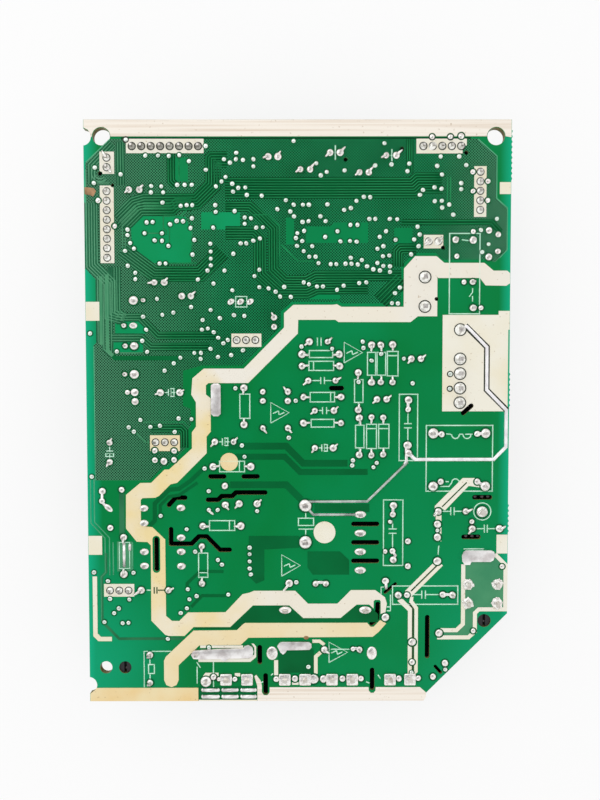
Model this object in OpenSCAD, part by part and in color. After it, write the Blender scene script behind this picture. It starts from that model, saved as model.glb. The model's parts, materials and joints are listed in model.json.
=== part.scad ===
// Main control board: a drilled laminate with its through-hole parts, lying solder side up.
// The parts hang under the board and the tallest of them stand on the surface below.
// X runs across the board, Y along it, Z out of the solder side. Places are measured from
// the middle of the board; the origin is below that point, on the surface.

/* [Board] */
// Width of the laminate
board_w = 115; // [115:1:140]
// Length of the laminate
board_l = 158.5; // [158:0.5:192]
// Thickness of the laminate
board_t = 1.6; // [1:0.1:2.4]
// Size of the corner cut, along each edge
corner_cut = 24.4; // [22:0.2:26]
// Diameter of the two upper fixing holes
fixing_hole_d = 4.7; // [4:0.1:5.6]
// Diameter of the lower fixing holes
lower_hole_d = 3.4; // [3:0.1:4.2]
// Width of the creepage slots
slot_w = 1.3; // [1:0.1:1.6]

/* [Parts under the board] */
// Height of the tallest parts
part_h = 20; // [18:0.5:26]
// Pitch of the signal headers
pitch = 2.54; // [2:0.01:3.05]
// Side of a square signal pin
pin_w = 0.64; // [0.5:0.02:0.8]
// Wall of a header's housing
header_wall = 0.8; // [0.6:0.1:1]
// Diameter of the large capacitor
bulk_d = 22; // [18:0.5:25]
// Diameter of the upright output capacitors
tall_can_d = 10; // [8:0.5:10]
// Diameter of a small part's lead
lead_d = 0.6; // [0.5:0.05:0.8]

/* [Soldering] */
// Gap between a lead and its drilled hole, each side
hole_gap = 0.2; // [0.1:0.05:0.3]
// Length of lead that shows past the solder side
tail = 1.5; // [1:0.1:2.2]
// Height of a solder joint
joint_h = 1; // [0.8:0.1:1.4]
// Thickness of the solder laid on the tracks
bead_t = 0.5; // [0.3:0.1:0.8]

/* [Hidden] */
$fn = 40;

eps = 0.01;
part_face = part_h;               // the face that carries the parts
edge_x = board_w / 2;
edge_y = board_l / 2;

// ---- where things are ----

// signal headers: first pin x, y, number of pins, direction of the row
HEADERS = [
    [-44.5, 72.15, 8, 0], [-51.4, 60.2, 8, -90], [33.75, 72.15, 5, 0], [49.15, 65.3, 5, -90],
    [-51.3, 69.1, 2, -90], [35.4, 46.8, 2, 0], [-16.6, 20.25, 3, 0], [-38.8, -7.5, 3, 0],
    [-51.65, -48.3, 3, 0],
];
wide_pitch = 3.96;
power_pin_w = 1.14;
// wide headers: first pin x, y, places along -Y, places left without a pin
MAINS_HEADER = [34.4, 37.2, 3, [1]];
POWER_HEADER = [44.05, 23, 6, [1]];

// axial parts: first lead x, y, second lead x, y
RESISTORS = [
    [1.1, 16.4, 11.2, 16.4], [1.5, -2.3, 11.7, -2.3], [-14.7, 7.3, -14.7, -2.7],
    [16.4, 11.4, 16.4, 1.3], [20, 18.9, 20, 8.8], [22.5, 18.9, 22.5, 8.8],
    [16.7, -0.9, 16.7, -11], [-47.8, -33.6, -47.8, -43.8],
];
DIODES = [
    [1.1, 13.2, 11.3, 13.2], [1.5, 4.8, 11.7, 4.8], [-26.1, -30.5, -15.7, -30.5],
    [-23.2, -14.2, -12.9, -14.2], [25.7, 19, 25.7, 8.8], [20, -0.7, 20, -11.1],
    [23.2, -0.8, 23.2, -10.9], [-26.4, -36.1, -26.4, -46.4],
];
resistor_d = 2.2;
diode_d = 2.7;
axial_body_l = 6.4;

// disc parts: middle x, y, lead spacing, diameter, thickness, direction of the lead row
DISCS = [
    [5.6, 19.8, 5, 6, 2.5, 0], [6.5, 9.25, 7.4, 8, 2.5, 0], [7.2, 1.1, 5.2, 6, 2.4, 0],
    [42.15, -26.55, 7.5, 9, 3, 0], [51.45, -31.35, 7.5, 9, 3, 0], [-39.35, -48.25, 7.5, 8, 3, 0],
    [-6.15, -3.65, 6.8, 8, 3, 0], [10.05, 70.45, 2.7, 5, 2.5, 0], [25.15, 69.7, 2.7, 5, 2.5, 0],
];
VARISTOR = [12.05, -64.85, 9.7, 12, 4.2, 0];
disc_standoff = 1.5;

// cans: middle x, y, lead spacing, direction of the lead row
TALL_CANS = [[7.1, -9.1, 5, 0], [-20.1, -7.4, 5.1, 0], [-34.75, 6.05, 5.3, 0], [-51.35, -10.25, 5.3, 90]];
SMALL_CANS = [
    [-6.6, 69.4, 2.6, 0], [2.05, 66, 2.6, 0], [17.85, 65.2, 2.5, 0], [-44, 60.6, 2.8, 0],
    [-37.45, 35.8, 2.7, 0], [-30.15, 32.15, 2.5, 0], [-6.45, 25.1, 2.55, 90], [32.1, 15.15, 2.6, 0],
    [22.8, 4.15, 2.6, 0], [-43.15, 31, 2.7, 0], [-45.85, 24.2, 2.5, 0], [-45.6, 18.7, 2.4, 0],
    [-45.7, 11, 2.55, 0], [6.2, -46.5, 2.8, 0],
];
small_can_d = 5;
small_can_h = 11;
BULK = [2, -30, 10.1];
bulk_lead = [1.5, 0.8];

// boxed film capacitors: middle x, y, lead spacing, direction
FILMS = [[30.1, -3.3, 14.5, 90], [26.1, -32.4, 15, 90], [34.95, -49.7, 14.9, 0]];
film_size = [18, 5.1, 11];
film_lead_d = 0.8;

// bridge rectifier: row x, first lead y, lead pitch
BRIDGE = [17.05, -27.4, 5.13];
bridge_lead = [1.2, 0.7];
bridge_size = [3.6, 22];          // thickness, length
bridge_standoff = 1.5;
bridge_hole_d = 3.4;

// relays: body middle x, y, length X, width Y, height, and the pins as x, y
MAINS_RELAY = [45.1, 38.1, 7.8, 21.2, 15.3];
MAINS_RELAY_PINS = [[42.6, 47.2], [47.35, 47.1], [47.3, 35.85], [47.5, 28.9]];
OUTPUT_RELAY = [-33, -70.2, 19, 10.4, 15.8];
OUTPUT_RELAY_PINS = [[-40.9, -66.3], [-40.9, -74.05], [-28.05, -66.1], [-25.5, -73.8]];
relay_pin = [1, 0.5];
relay_base_t = 1.6;
relay_wall = 0.5;

// choke: middle x, y, pin spacing X, Y
CHOKE = [44.05, -12.4, 14.25, 14.5];
choke_base_w = 18;
choke_base_t = 2.5;
choke_limb = [3.6, 4.6];          // section of the core's upright limbs
choke_span = 9.2;                 // from the middle of one limb to the other
choke_winding_d = 8.8;
wound_pin_d = 0.8;

// transformer: middle x, y, distance between pin rows, and each row's pins
TRANSFORMER = [-37.1, -33.6, 10.1];
TRANSFORMER_LEFT = [-25.6, -29.7, -37.6, -41.5];
TRANSFORMER_RIGHT = [-25.5, -33.7, -37.6, -41.6];
rail_h = 3;
core_depth = 5;                   // thickness of the core along X
core_leg = 2.4;                   // outer legs and yokes
core_centre = 4.8;                // centre leg
core_l = 19;                      // outer length along Y

// cartridge fuse: middle x, y, distance between clips
FUSE = [7.45, -53.85, 22];
fuse_d = 5.2;
fuse_l = 20;
fuse_axis_h = 4.6;
fuse_cap_l = 5;
fuse_foot = [1.6, 0.6];

// tab terminals: middle x, y, leg spacing, direction
TABS = [
    [-16.95, -73.1, 5.7, 0], [-0.9, -73.1, 5.55, 0], [12.1, -73.1, 5.6, 0], [28.05, -73.1, 5.55, 0],
    [46.7, -49.4, 5.2, 90], [54.7, -49.4, 5.2, 90],
];
tab_w = 6.3;
tab_t = 0.8;
tab_h = 9;
tab_leg_w = 1.3;
POST = [50.4, -26.7];
post_d = 1.6;

// surface-mounted chips: middle x, y, body X, body Y, leads a side, lead pitch
CONTROLLER = [13, 48.5, 10, 10, 16, 0.5];
DRIVER = [-36.5, 50.5, 10, 4, 8, 1.27];
chip_h = 1.5;
chip_lift = 0.1;
chip_lead_t = 0.15;
// chip resistors: x, y, direction
CHIPS = [
    [-2, 40, 0], [3, 37, 0], [-2, 57.5, 90], [1, 60, 90], [24, 57, 0], [24, 60, 0], [28, 52, 90],
    [-26, 44, 90], [-23, 52, 0], [-40, 41, 0], [-8, 35, 0], [-11, 43, 90], [22, 27, 90], [-25, 20, 0],
    [-10, -38, 0], [-10, -42, 0],
];
chip_size = [2, 1.25, 0.55];

// optocoupler: middle x, y, row spacing, pin spacing
OPTO = [-6.15, 5, 6.8, 2.5];
opto_size = [4.8, 4.6, 3.5];
opto_lead = [0.25, 0.5];

RESONATOR = [-15.5, 30.6, 2.6];
resonator_size = [7, 3, 6];

// pads with solder and no lead: x, y, diameter
BARE_PADS = [
    [-53.7, 57.75, 1.5], [-49.3, 50.9, 1.4], [43.9, 74.8, 1.6], [41, 74.6, 1.4], [36.1, 74.6, 1.4],
    [47.1, 65.3, 1.4], [51.2, 62.8, 1.4], [47.2, 60.2, 1.4], [51.2, 57.7, 1.4],
    [51.6, 49.7, 2], [54.1, 48.6, 2], [51.6, 42.6, 2], [54.05, 44.1, 2],
    [44.96, 35.85, 1.4], [49.6, 28.9, 1.4], [47.35, 49.4, 1.4], [42.95, 42.8, 1.4],
    [39.2, -5.4, 1.7], [48.9, -5.3, 1.7], [39, -18.4, 1.7], [49, -18.4, 1.7],
    [30, 1.4, 1.6], [29.9, -8.4, 1.6], [25.95, -27.4, 1.6], [25.2, -29.4, 1.2], [25.9, -37.5, 1.6],
    [23.9, -37.6, 1.3], [29.9, -49.7, 1.6], [39.8, -49.6, 1.8], [30.1, -34.8, 1.6], [30.1, -41.7, 1.6],
    [-39.05, -9.8, 1.6], [-33.8, -9.9, 1.6], [-39.05, -12.4, 1.6], [-33.8, -12.3, 1.6],
    [-36.6, -12.7, 1.9], [-2.45, -46.4, 1.5], [-44.4, 6.1, 2.2], [-44.3, 3.6, 1.9], [-46.3, 6.1, 1.8],
    [31.4, -62.8, 2.1], [31.4, -68.4, 1.6], [38.8, -60.3, 2], [48.2, -59.7, 1.4], [56, -41.8, 1.4],
    [24, -45.8, 1.9], [24, -55.9, 2.1], [40.5, -68.7, 1.8], [37.2, -72.5, 1.7], [38.2, -40.3, 2.1],
    [38.2, -30.1, 2], [38.2, -32.8, 2], [38.2, -34.7, 1.8], [47.6, -29.4, 1.4],
    [-23.4, -72.5, 1.7], [-21.6, -73.1, 1.8], [-17.6, -73.1, 1.6], [-6, -73.1, 1.7],
    [12.2, -73, 1.7], [17.3, -73, 1.6], [27.8, -73, 1.7], [33.1, -72.9, 1.6],
    [-53.5, -20.9, 1.8], [-53.6, -23.6, 1.6], [-48.2, -20.5, 1.6], [-51.4, -31, 1.6],
    [-20, -19.5, 1.8], [-19.9, -24.7, 1.9], [-16.1, -24.4, 1.9], [-11.2, -24.4, 1.9],
    [15.1, -64.7, 1.3], [-7.2, -65.9, 3.4], [20.3, -65.9, 3.2],
];

// solder laid on tracks: width, then the corners of its route
BEADS = [
    [2.4, [-22.3, 7.2], [-22.3, 0.8]],
    [3, [47.2, -38.9], [52.2, -38.9]],
    [2.6, [-27.6, -66], [-14, -65.5]],
    [2, [-4.2, -64.9], [-3.6, -63.6], [2.4, -63.6]],
    [1.1, [-26.4, -76.1], [-22.1, -76.1]], [1.1, [-20.8, -76.1], [-16.8, -76.1]],
    [1.1, [-15.5, -76.1], [-11.8, -76.1]], [1.1, [-26.4, -77.9], [-22.1, -77.9]],
    [1.1, [-20.8, -77.9], [-16.8, -77.9]], [1.1, [-15.5, -77.9], [-11.8, -77.9]],
    [1.1, [45.6, 23.9], [51.3, 18.2], [51.3, 6.7], [56.6, 1.4], [56.6, -8.9], [53.2, -12.3],
        [32, -12.3], [31.2, -11.5]],
    [0.9, [29.9, -13], [19.1, -23.8], [4, -23.8]],
    [0.9, [4, -27.4], [16, -27.4]],
];

// creepage slots: width, then the corners of the route
SLOTS = [
    [slot_w, [9.1, 7.2], [11.9, 7.2]], [slot_w, [-23.9, -16.9], [-20.2, -16.9]],
    [slot_w, [-14.8, -16.9], [-11.1, -16.9]],
    [slot_w, [-24.6, -23.3], [-21.9, -23.3], [-20.9, -22.3], [-18, -22.3], [-17, -21.3], [-9, -21.3]],
    [slot_w, [-35.3, -24.7], [-33.5, -22.7], [-30.9, -22.7]],
    [slot_w, [-34.8, -31.4], [-34.8, -35.4], [-29.2, -35.4], [-27.2, -33.4], [-25, -33.4],
        [-21.4, -37.1], [-18.8, -37.1]],
    [slot_w, [-38.8, -34.2], [-38.8, -42.4]],
    [slot_w, [15.2, -30], [21.6, -30]], [slot_w, [15.2, -35.1], [21.6, -35.1]],
    [slot_w, [15.2, -40.2], [21.6, -40.2]],
    [0.9, [23.9, -48.9], [26.7, -46.6]], [slot_w, [21.9, -52.2], [21.7, -56.2], [20.2, -57.6]],
    [slot_w, [35.55, -55.9], [35.55, -66.7]], [slot_w, [-10.6, -64.2], [-10.6, -68.3]],
    [slot_w, [-9, -72.1], [-9, -76.8]], [slot_w, [20.4, -70.6], [20.4, -75.6]],
    [0.9, [37.8, -69.6], [39.3, -71.3]], [slot_w, [45, 0.4], [47.2, 2.4]],
    [slot_w, [48.3, -22.7], [52.5, -22.7]], [slot_w, [45.4, -33.6], [49.4, -33.6]],
];

// small locating holes: x, y, diameter
LOCATING = [
    [-53.1, 64.9, 1.1], [-49.75, 61.8, 0.9], [12.9, 68.6, 1.2], [28, 71.45, 1.2], [45.3, 70.4, 1.1],
    [39.25, 45.1, 1.1], [37.5, 31.3, 1.1],
];

// fixing holes, tied to the edges: x, y, diameter
FIXING = [
    [-edge_x + 4.8, edge_y - 4.5, fixing_hole_d], [edge_x - 4.2, edge_y - 4.5, fixing_hole_d],
    [-edge_x + 4.55, -edge_y + 9.5, lower_hole_d], [-edge_x + 9.8, -edge_y + 9.5, lower_hole_d],
    [edge_x - 6.3, -edge_y + corner_cut - 2, lower_hole_d + 0.2],
];
spacer_d = 6;
spacer_l = 12;
notch_d = 4.6;
nib_d = 0.9;
nib_step = 1.4;
filling_t = 0.8;                  // black compound in the slots, level with the face of the parts
// stretches of the right edge with broken-off webs: from y, to y
NIBS = [[63.5, 77], [2.5, 12], [-32, -25]];

// ---- every soldered lead, as x, y, size across X, size across Y (0 for round), pad diameter ----

function turned(a, v) = [v[0] * cos(a) - v[1] * sin(a), v[0] * sin(a) + v[1] * cos(a)];
function header_pins(h) = [for (i = [0 : h[2] - 1]) [h[0], h[1]] + turned(h[3], [i * pitch, 0])];
function wide_pins(h) = [for (i = [0 : h[2] - 1]) if (len(search(i, h[3])) == 0)
    [h[0], h[1] - i * wide_pitch]];
function pair(p) = [for (s = [-1, 1]) [p[0], p[1]] + turned(p[3], [s * p[2] / 2, 0])];
function disc_pair(d) = pair([d[0], d[1], d[2], d[5]]);
function round_leads(places, d, pad = 0) = [for (p = places) [p[0], p[1], d, 0, pad]];
function square_leads(places, w, pad = 0) = [for (p = places) [p[0], p[1], w, w, pad]];
function flat_leads(places, s, pad = 0) = [for (p = places) [p[0], p[1], s[0], s[1], pad]];
function flatten(lists) = [for (l = lists) for (v = l) v];

header_places = flatten([for (h = HEADERS) header_pins(h)]);
power_places = concat(wide_pins(MAINS_HEADER), wide_pins(POWER_HEADER));
axial_places = flatten([for (p = concat(RESISTORS, DIODES)) [[p[0], p[1]], [p[2], p[3]]]]);
disc_places = flatten([for (d = DISCS) disc_pair(d)]);
resonator_places = [for (i = [-1 : 1]) [RESONATOR[0] + i * RESONATOR[2], RESONATOR[1]]];
can_places = flatten([for (c = concat(TALL_CANS, SMALL_CANS)) pair(c)]);
bulk_places = [for (s = [-1, 1]) [BULK[0], BULK[1] + s * BULK[2] / 2]];
film_places = flatten([for (f = FILMS) pair(f)]);
bridge_places = [for (i = [0 : 3]) [BRIDGE[0], BRIDGE[1] - i * BRIDGE[2]]];
relay_places = concat(MAINS_RELAY_PINS, OUTPUT_RELAY_PINS);
choke_places = [for (i = [-1, 1]) for (j = [-1, 1])
    [CHOKE[0] + i * CHOKE[2] / 2, CHOKE[1] + j * CHOKE[3] / 2]];
transformer_places = concat(
    [for (y = TRANSFORMER_LEFT) [TRANSFORMER[0] - TRANSFORMER[2] / 2, y]],
    [for (y = TRANSFORMER_RIGHT) [TRANSFORMER[0] + TRANSFORMER[2] / 2, y]]);
fuse_places = pair([FUSE[0], FUSE[1], FUSE[2], 0]);
opto_places = [for (i = [-1, 1]) for (j = [-1, 1]) [OPTO[0] + i * OPTO[2] / 2, OPTO[1] + j * OPTO[3] / 2]];
tab_x_places = flatten([for (t = TABS) if (t[3] == 0) pair(t)]);
tab_y_places = flatten([for (t = TABS) if (t[3] != 0) pair(t)]);

LEADS = concat(
    square_leads(header_places, pin_w, 2.1), square_leads(power_places, power_pin_w, 3.2),
    round_leads(axial_places, lead_d, 2.1), round_leads(disc_places, lead_d, 2),
    round_leads(disc_pair(VARISTOR), lead_d, 2), round_leads(resonator_places, lead_d, 1.8),
    round_leads(can_places, lead_d, 2), flat_leads(bulk_places, bulk_lead, 3.4),
    round_leads(film_places, film_lead_d, 2.1), flat_leads(bridge_places, bridge_lead, 2.8),
    flat_leads(relay_places, relay_pin, 2), round_leads(choke_places, wound_pin_d, 2.6),
    round_leads(transformer_places, wound_pin_d, 2.2), flat_leads(fuse_places, fuse_foot, 2.9),
    flat_leads(opto_places, opto_lead, 2), flat_leads(tab_x_places, [tab_leg_w, tab_t], 3.3),
    flat_leads(tab_y_places, [tab_t, tab_leg_w], 3.2), round_leads([POST], post_d, 3.2));

// ---- shared shapes ----

// a lead's own section, as a flat shape
module section(l, grow = 0) {
    if (l[3] == 0) circle(d = l[2] + 2 * grow);
    else square([l[2] + 2 * grow, l[3] + 2 * grow], center = true);
}

// radius of the drilled hole that a lead passes through
function hole_r(l) = (l[3] == 0 ? l[2] : norm([l[2], l[3]])) / 2 + hole_gap;

// puts a part on the face that carries the parts, standing away from the board
module under(x = 0, y = 0, a = 0) translate([x, y, part_face]) mirror([0, 0, 1]) rotate(a) children();

// straight leads through the board, reaching h into the part
module straight_leads(leads, h = 0) {
    for (l = leads)
        under(l[0], l[1]) translate([0, 0, -board_t - tail])
            linear_extrude(board_t + tail + h) section(l);
}

// a flat route of one width with round ends and corners
module route(r) {
    for (i = [1 : len(r) - 1]) translate(r[i]) circle(d = r[0]);
    for (i = [1 : len(r) - 2]) {
        step = r[i + 1] - r[i];
        translate(r[i]) rotate(atan2(step[1], step[0]))
            translate([0, -r[0] / 2]) square([norm(step), r[0]]);
    }
}

// an upright block with round vertical edges, centred on X and Y
module block(l, w, h, r) {
    linear_extrude(h) {
        square([l - 2 * r, w], center = true);
        square([l, w - 2 * r], center = true);
        for (i = [-1, 1]) for (j = [-1, 1]) translate([i * (l / 2 - r), j * (w / 2 - r)]) circle(r);
    }
}

// ---- the board and its solder ----

module board_outline() {
    difference() {
        union() {
            polygon([
                [-edge_x, -edge_y], [edge_x - corner_cut, -edge_y], [edge_x, -edge_y + corner_cut],
                [edge_x, edge_y], [-edge_x, edge_y],
            ]);
            for (n = NIBS) for (y = [n[0] : nib_step : n[1]])
                translate([edge_x - nib_d / 4, y]) circle(d = nib_d);
        }
        for (y = [edge_y - 4.6, -edge_y + 4.5]) translate([-edge_x - 0.3, y]) circle(d = notch_d);
    }
}

module circuit_board() {
    color("seagreen") translate([0, 0, part_face]) difference() {
        linear_extrude(board_t) board_outline();
        for (f = FIXING) translate([f[0], f[1], -eps]) cylinder(d = f[2], h = board_t + 2 * eps);
        for (f = LOCATING) translate([f[0], f[1], -eps]) cylinder(d = f[2], h = board_t + 2 * eps);
        for (l = LEADS) translate([l[0], l[1], -eps]) cylinder(r = hole_r(l), h = board_t + 2 * eps);
        for (s = SLOTS) translate([0, 0, -eps]) linear_extrude(board_t + 2 * eps) route(s);
    }
}

module solder_joints() {
    color("silver") for (l = LEADS) translate([l[0], l[1], part_face]) difference() {
        union() {
            cylinder(r = hole_r(l), h = board_t);
            translate([0, 0, board_t]) cylinder(d1 = l[4], d2 = 2 * hole_r(l) - 0.1, h = joint_h);
        }
        translate([0, 0, -eps]) linear_extrude(board_t + joint_h + 2 * eps) section(l);
    }
}

module solder_pads() {
    color("silver") for (p = BARE_PADS) translate([p[0], p[1], part_face + board_t]) difference() {
        cylinder(d1 = p[2], d2 = p[2] * 0.5, h = p[2] * 0.3);
        for (l = LEADS) if (norm([l[0] - p[0], l[1] - p[1]]) < (l[4] + p[2]) / 2)
            translate([l[0] - p[0], l[1] - p[1], -eps]) cylinder(d = l[4], h = p[2]);
    }
}

module track_solder() {
    color("gainsboro") translate([0, 0, part_face + board_t]) difference() {
        for (b = BEADS) linear_extrude(bead_t) route(b);
        for (l = LEADS) translate([l[0], l[1], -eps]) cylinder(d = l[4], h = bead_t + 2 * eps);
        for (p = BARE_PADS) translate([p[0], p[1], -eps]) cylinder(d = p[2], h = bead_t + 2 * eps);
    }
}

module slot_filling() {
    color("black") for (s = SLOTS) translate([0, 0, part_face]) linear_extrude(filling_t) route(s);
}

// ---- headers ----

header_w = 5.75;
header_back = 3.4;                // from the pin row to the wall on the deep side
header_end = 2.45;                // from the last pin to the end wall
header_h = 7;
header_floor = 2;
key_w = 1.4;                      // the slots that take the plug's ribs

module header_housing(h) {
    row = (h[2] - 1) * pitch;
    under(h[0], h[1], h[3]) color("ivory") difference() {
        translate([-header_end, header_back - header_w, 0])
            cube([row + 2 * header_end, header_w, header_h]);
        translate([-header_end + header_wall, header_back - header_w + header_wall, header_floor])
            cube([row + 2 * (header_end - header_wall), header_w - 2 * header_wall, header_h]);
        for (x = [0, row]) translate([x - key_w / 2, header_back - header_w - eps, header_floor + 1])
            cube([key_w, header_wall + 2 * eps, header_h]);
        for (i = [0 : h[2] - 1]) translate([i * pitch, 0, header_floor / 2])
            cube([pin_w, pin_w, header_floor + 2 * eps], center = true);
    }
}

module signal_pins() {
    pin_top = header_h - 0.8;
    color("gold") for (p = header_places) under(p[0], p[1]) {
        translate([0, 0, (pin_top - board_t - tail) / 2])
            cube([pin_w, pin_w, pin_top + board_t + tail], center = true);
    }
}

wide_w = 8.5;
wide_back = 4.2;
wide_end = 1.95;
wide_h = 9.2;
wide_floor = 3.2;
wide_wall = 1.2;

module wide_housing(h) {
    row = (h[2] - 1) * wide_pitch;
    under(h[0], h[1], -90) color("whitesmoke") difference() {
        translate([-wide_end, -wide_back, 0]) cube([row + 2 * wide_end, wide_w, wide_floor + 1]);
        translate([-wide_end - eps, -wide_back + wide_wall, wide_floor])
            cube([row + 2 * wide_end + 2 * eps, wide_w, 2]);
        for (p = wide_pins(h)) translate([h[1] - p[1], 0, wide_floor / 2])
            cube([power_pin_w, power_pin_w, wide_floor + 2 * eps], center = true);
    }
    under(h[0], h[1], -90) color("whitesmoke")
        translate([-wide_end, -wide_back, wide_floor + 1])
            cube([row + 2 * wide_end, wide_wall, wide_h - wide_floor - 1]);
}

module mains_header() wide_housing(MAINS_HEADER);
module power_header() wide_housing(POWER_HEADER);

module power_pins() {
    pin_top = wide_h + 1.2;
    color("silver") for (p = power_places) under(p[0], p[1])
        translate([0, 0, (pin_top - board_t - tail) / 2])
            cube([power_pin_w, power_pin_w, pin_top + board_t + tail], center = true);
}

// ---- relays ----

// the case is a cup that fits down over the base
module relay_case(r) {
    under(r[0], r[1]) difference() {
        block(r[2], r[3], r[4], 0.6);
        translate([0, 0, -eps])
            block(r[2] - 2 * relay_wall, r[3] - 2 * relay_wall, relay_base_t + eps, 0.4);
    }
}

module relay_base(r, pins) {
    under(r[0], r[1]) difference() {
        block(r[2] - 2 * relay_wall, r[3] - 2 * relay_wall, relay_base_t, 0.4);
        for (p = pins) translate([p[0] - r[0], p[1] - r[1], relay_base_t / 2])
            cube([relay_pin[0], relay_pin[1], relay_base_t + 2 * eps], center = true);
    }
}

module mains_relay_case() color("dimgray") relay_case(MAINS_RELAY);
module mains_relay_base() color("saddlebrown") relay_base(MAINS_RELAY, MAINS_RELAY_PINS);
module output_relay_case() color("royalblue") relay_case(OUTPUT_RELAY);
module output_relay_base() color("saddlebrown") relay_base(OUTPUT_RELAY, OUTPUT_RELAY_PINS);
module relay_pins() color("peru") straight_leads(flat_leads(relay_places, relay_pin), relay_base_t);

// ---- wound parts ----

choke_top = part_h;
choke_yoke = choke_limb[0];
choke_core_w = choke_span + choke_limb[0];
choke_flange_t = 0.8;
choke_tube_d = norm(choke_limb) + 0.8;

module choke_core() {
    color("dimgray") under(CHOKE[0], CHOKE[1]) difference() {
        translate([-choke_core_w / 2, -choke_limb[1] / 2, choke_base_t])
            cube([choke_core_w, choke_limb[1], choke_top - choke_base_t]);
        translate([-(choke_span - choke_limb[0]) / 2, -choke_limb[1], choke_base_t + choke_yoke])
            cube([choke_span - choke_limb[0], 2 * choke_limb[1], choke_top - choke_base_t - 2 * choke_yoke]);
    }
}

// the base plate carries the pins, and a flanged tube goes round each limb
module choke_bobbin() {
    low = choke_base_t + choke_yoke;
    high = choke_top - choke_yoke;
    color("black") under(CHOKE[0], CHOKE[1]) {
        difference() {
            block(choke_base_w, choke_base_w, choke_base_t, 1);
            for (i = [-1, 1]) for (j = [-1, 1])
                translate([i * CHOKE[2] / 2, j * CHOKE[3] / 2, -eps])
                    cylinder(d = wound_pin_d, h = choke_base_t + 2 * eps);
        }
        for (i = [-1, 1]) translate([i * choke_span / 2, 0, 0]) difference() {
            union() {
                translate([0, 0, low]) cylinder(d = choke_tube_d, h = high - low);
                for (z = [low, high - choke_flange_t]) translate([0, 0, z])
                    cylinder(d = choke_winding_d + 0.2, h = choke_flange_t);
            }
            translate([-choke_limb[0] / 2, -choke_limb[1] / 2, low - eps])
                cube([choke_limb[0], choke_limb[1], high - low + 2 * eps]);
        }
    }
}

module choke_windings() {
    low = choke_base_t + choke_yoke + choke_flange_t;
    high = choke_top - choke_yoke - choke_flange_t;
    color("chocolate") under(CHOKE[0], CHOKE[1]) for (i = [-1, 1]) translate([i * choke_span / 2, 0, low])
        difference() {
            cylinder(d = choke_winding_d, h = high - low);
            translate([0, 0, -eps]) cylinder(d = choke_tube_d, h = high - low + 2 * eps);
        }
}

module choke_pins() color("silver") straight_leads(round_leads(choke_places, wound_pin_d), choke_base_t);

core_low = rail_h;
core_high = part_h;
bobbin_tube_d = norm([core_depth, core_centre]) + 1;
bobbin_flange_t = 0.8;
window_outer = core_l - 2 * core_leg;

module transformer_core() {
    color("dimgray") under(TRANSFORMER[0], TRANSFORMER[1]) difference() {
        translate([-core_depth / 2, -core_l / 2, core_low])
            cube([core_depth, core_l, core_high - core_low]);
        for (s = [-1, 1])
            translate([-core_depth, s > 0 ? core_centre / 2 : -window_outer / 2, core_low + core_leg])
            cube([2 * core_depth, (window_outer - core_centre) / 2, core_high - core_low - 2 * core_leg]);
    }
}

module transformer_bobbin() {
    low = core_low + core_leg;
    high = core_high - core_leg;
    rail_w = 5;
    rail_l = core_l + 0.8;
    bar_w = 2;
    color("darkgreen") under(TRANSFORMER[0], TRANSFORMER[1]) {
        difference() {
            union() {
                for (s = [-1, 1]) translate([s * TRANSFORMER[2] / 2 - rail_w / 2, -rail_l / 2, 0])
                    cube([rail_w, rail_l, rail_h]);
                for (y = [-rail_l / 2, rail_l / 2 - bar_w]) translate([-TRANSFORMER[2] / 2, y, 0])
                    cube([TRANSFORMER[2], bar_w, rail_h]);
            }
            for (p = transformer_places) translate([p[0] - TRANSFORMER[0], p[1] - TRANSFORMER[1], -eps])
                cylinder(d = wound_pin_d, h = rail_h + 2 * eps);
        }
        difference() {
            union() {
                translate([0, 0, low]) cylinder(d = bobbin_tube_d, h = high - low);
                for (z = [low, high - bobbin_flange_t]) translate([0, 0, z])
                    cylinder(d = window_outer - 0.4, h = bobbin_flange_t);
            }
            translate([-core_depth / 2, -core_centre / 2, low - eps])
                cube([core_depth, core_centre, high - low + 2 * eps]);
        }
    }
}

module transformer_winding() {
    low = core_low + core_leg + bobbin_flange_t;
    high = core_high - core_leg - bobbin_flange_t;
    color("gold") under(TRANSFORMER[0], TRANSFORMER[1]) translate([0, 0, low]) difference() {
        cylinder(d = window_outer - 1.2, h = high - low);
        translate([0, 0, -eps]) cylinder(d = bobbin_tube_d, h = high - low + 2 * eps);
    }
}

module transformer_pins() color("silver")
    straight_leads(round_leads(transformer_places, wound_pin_d), rail_h);

// ---- capacitors, rectifier ----

module film_capacitors() {
    color("goldenrod") for (f = FILMS) under(f[0], f[1], f[3])
        block(film_size[0], film_size[1], film_size[2], 0.6);
}

module film_capacitor_leads() color("silver") straight_leads(round_leads(film_places, film_lead_d));

// an upright block with a hole for a heat sink's screw and one corner cut to mark the first lead
module bridge_rectifier() {
    t = bridge_size[0];
    l = bridge_size[1];
    high = part_h - bridge_standoff;
    hole_below_top = 4;
    corner = 4;
    color("black") under(BRIDGE[0], BRIDGE[1] - 1.5 * BRIDGE[2])
        translate([0, 0, bridge_standoff]) difference() {
        translate([-t / 2, -l / 2, 0]) cube([t, l, high]);
        translate([-t, 0, high - hole_below_top]) rotate([0, 90, 0]) cylinder(d = bridge_hole_d, h = 2 * t);
        translate([0, -l / 2, high]) rotate([45, 0, 0]) cube([2 * t, corner, corner], center = true);
    }
}

module bridge_leads() color("silver")
    straight_leads(flat_leads(bridge_places, bridge_lead), bridge_standoff);

// a can with a beaded neck, its seal a little inside the rim
seal_recess = 0.3;
rim_w = 0.6;
module can(d, h, neck = 0.4) {
    rotate_extrude() polygon([
        [0, seal_recess], [d / 2 - rim_w, seal_recess], [d / 2 - rim_w, 0],
            [d / 2, 0], [d / 2, 1.6], [d / 2 - neck, 2],
        [d / 2 - neck, 2.5], [d / 2, 2.9], [d / 2, h - 0.5], [d / 2 - 0.5, h], [0, h],
    ]);
}

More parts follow.
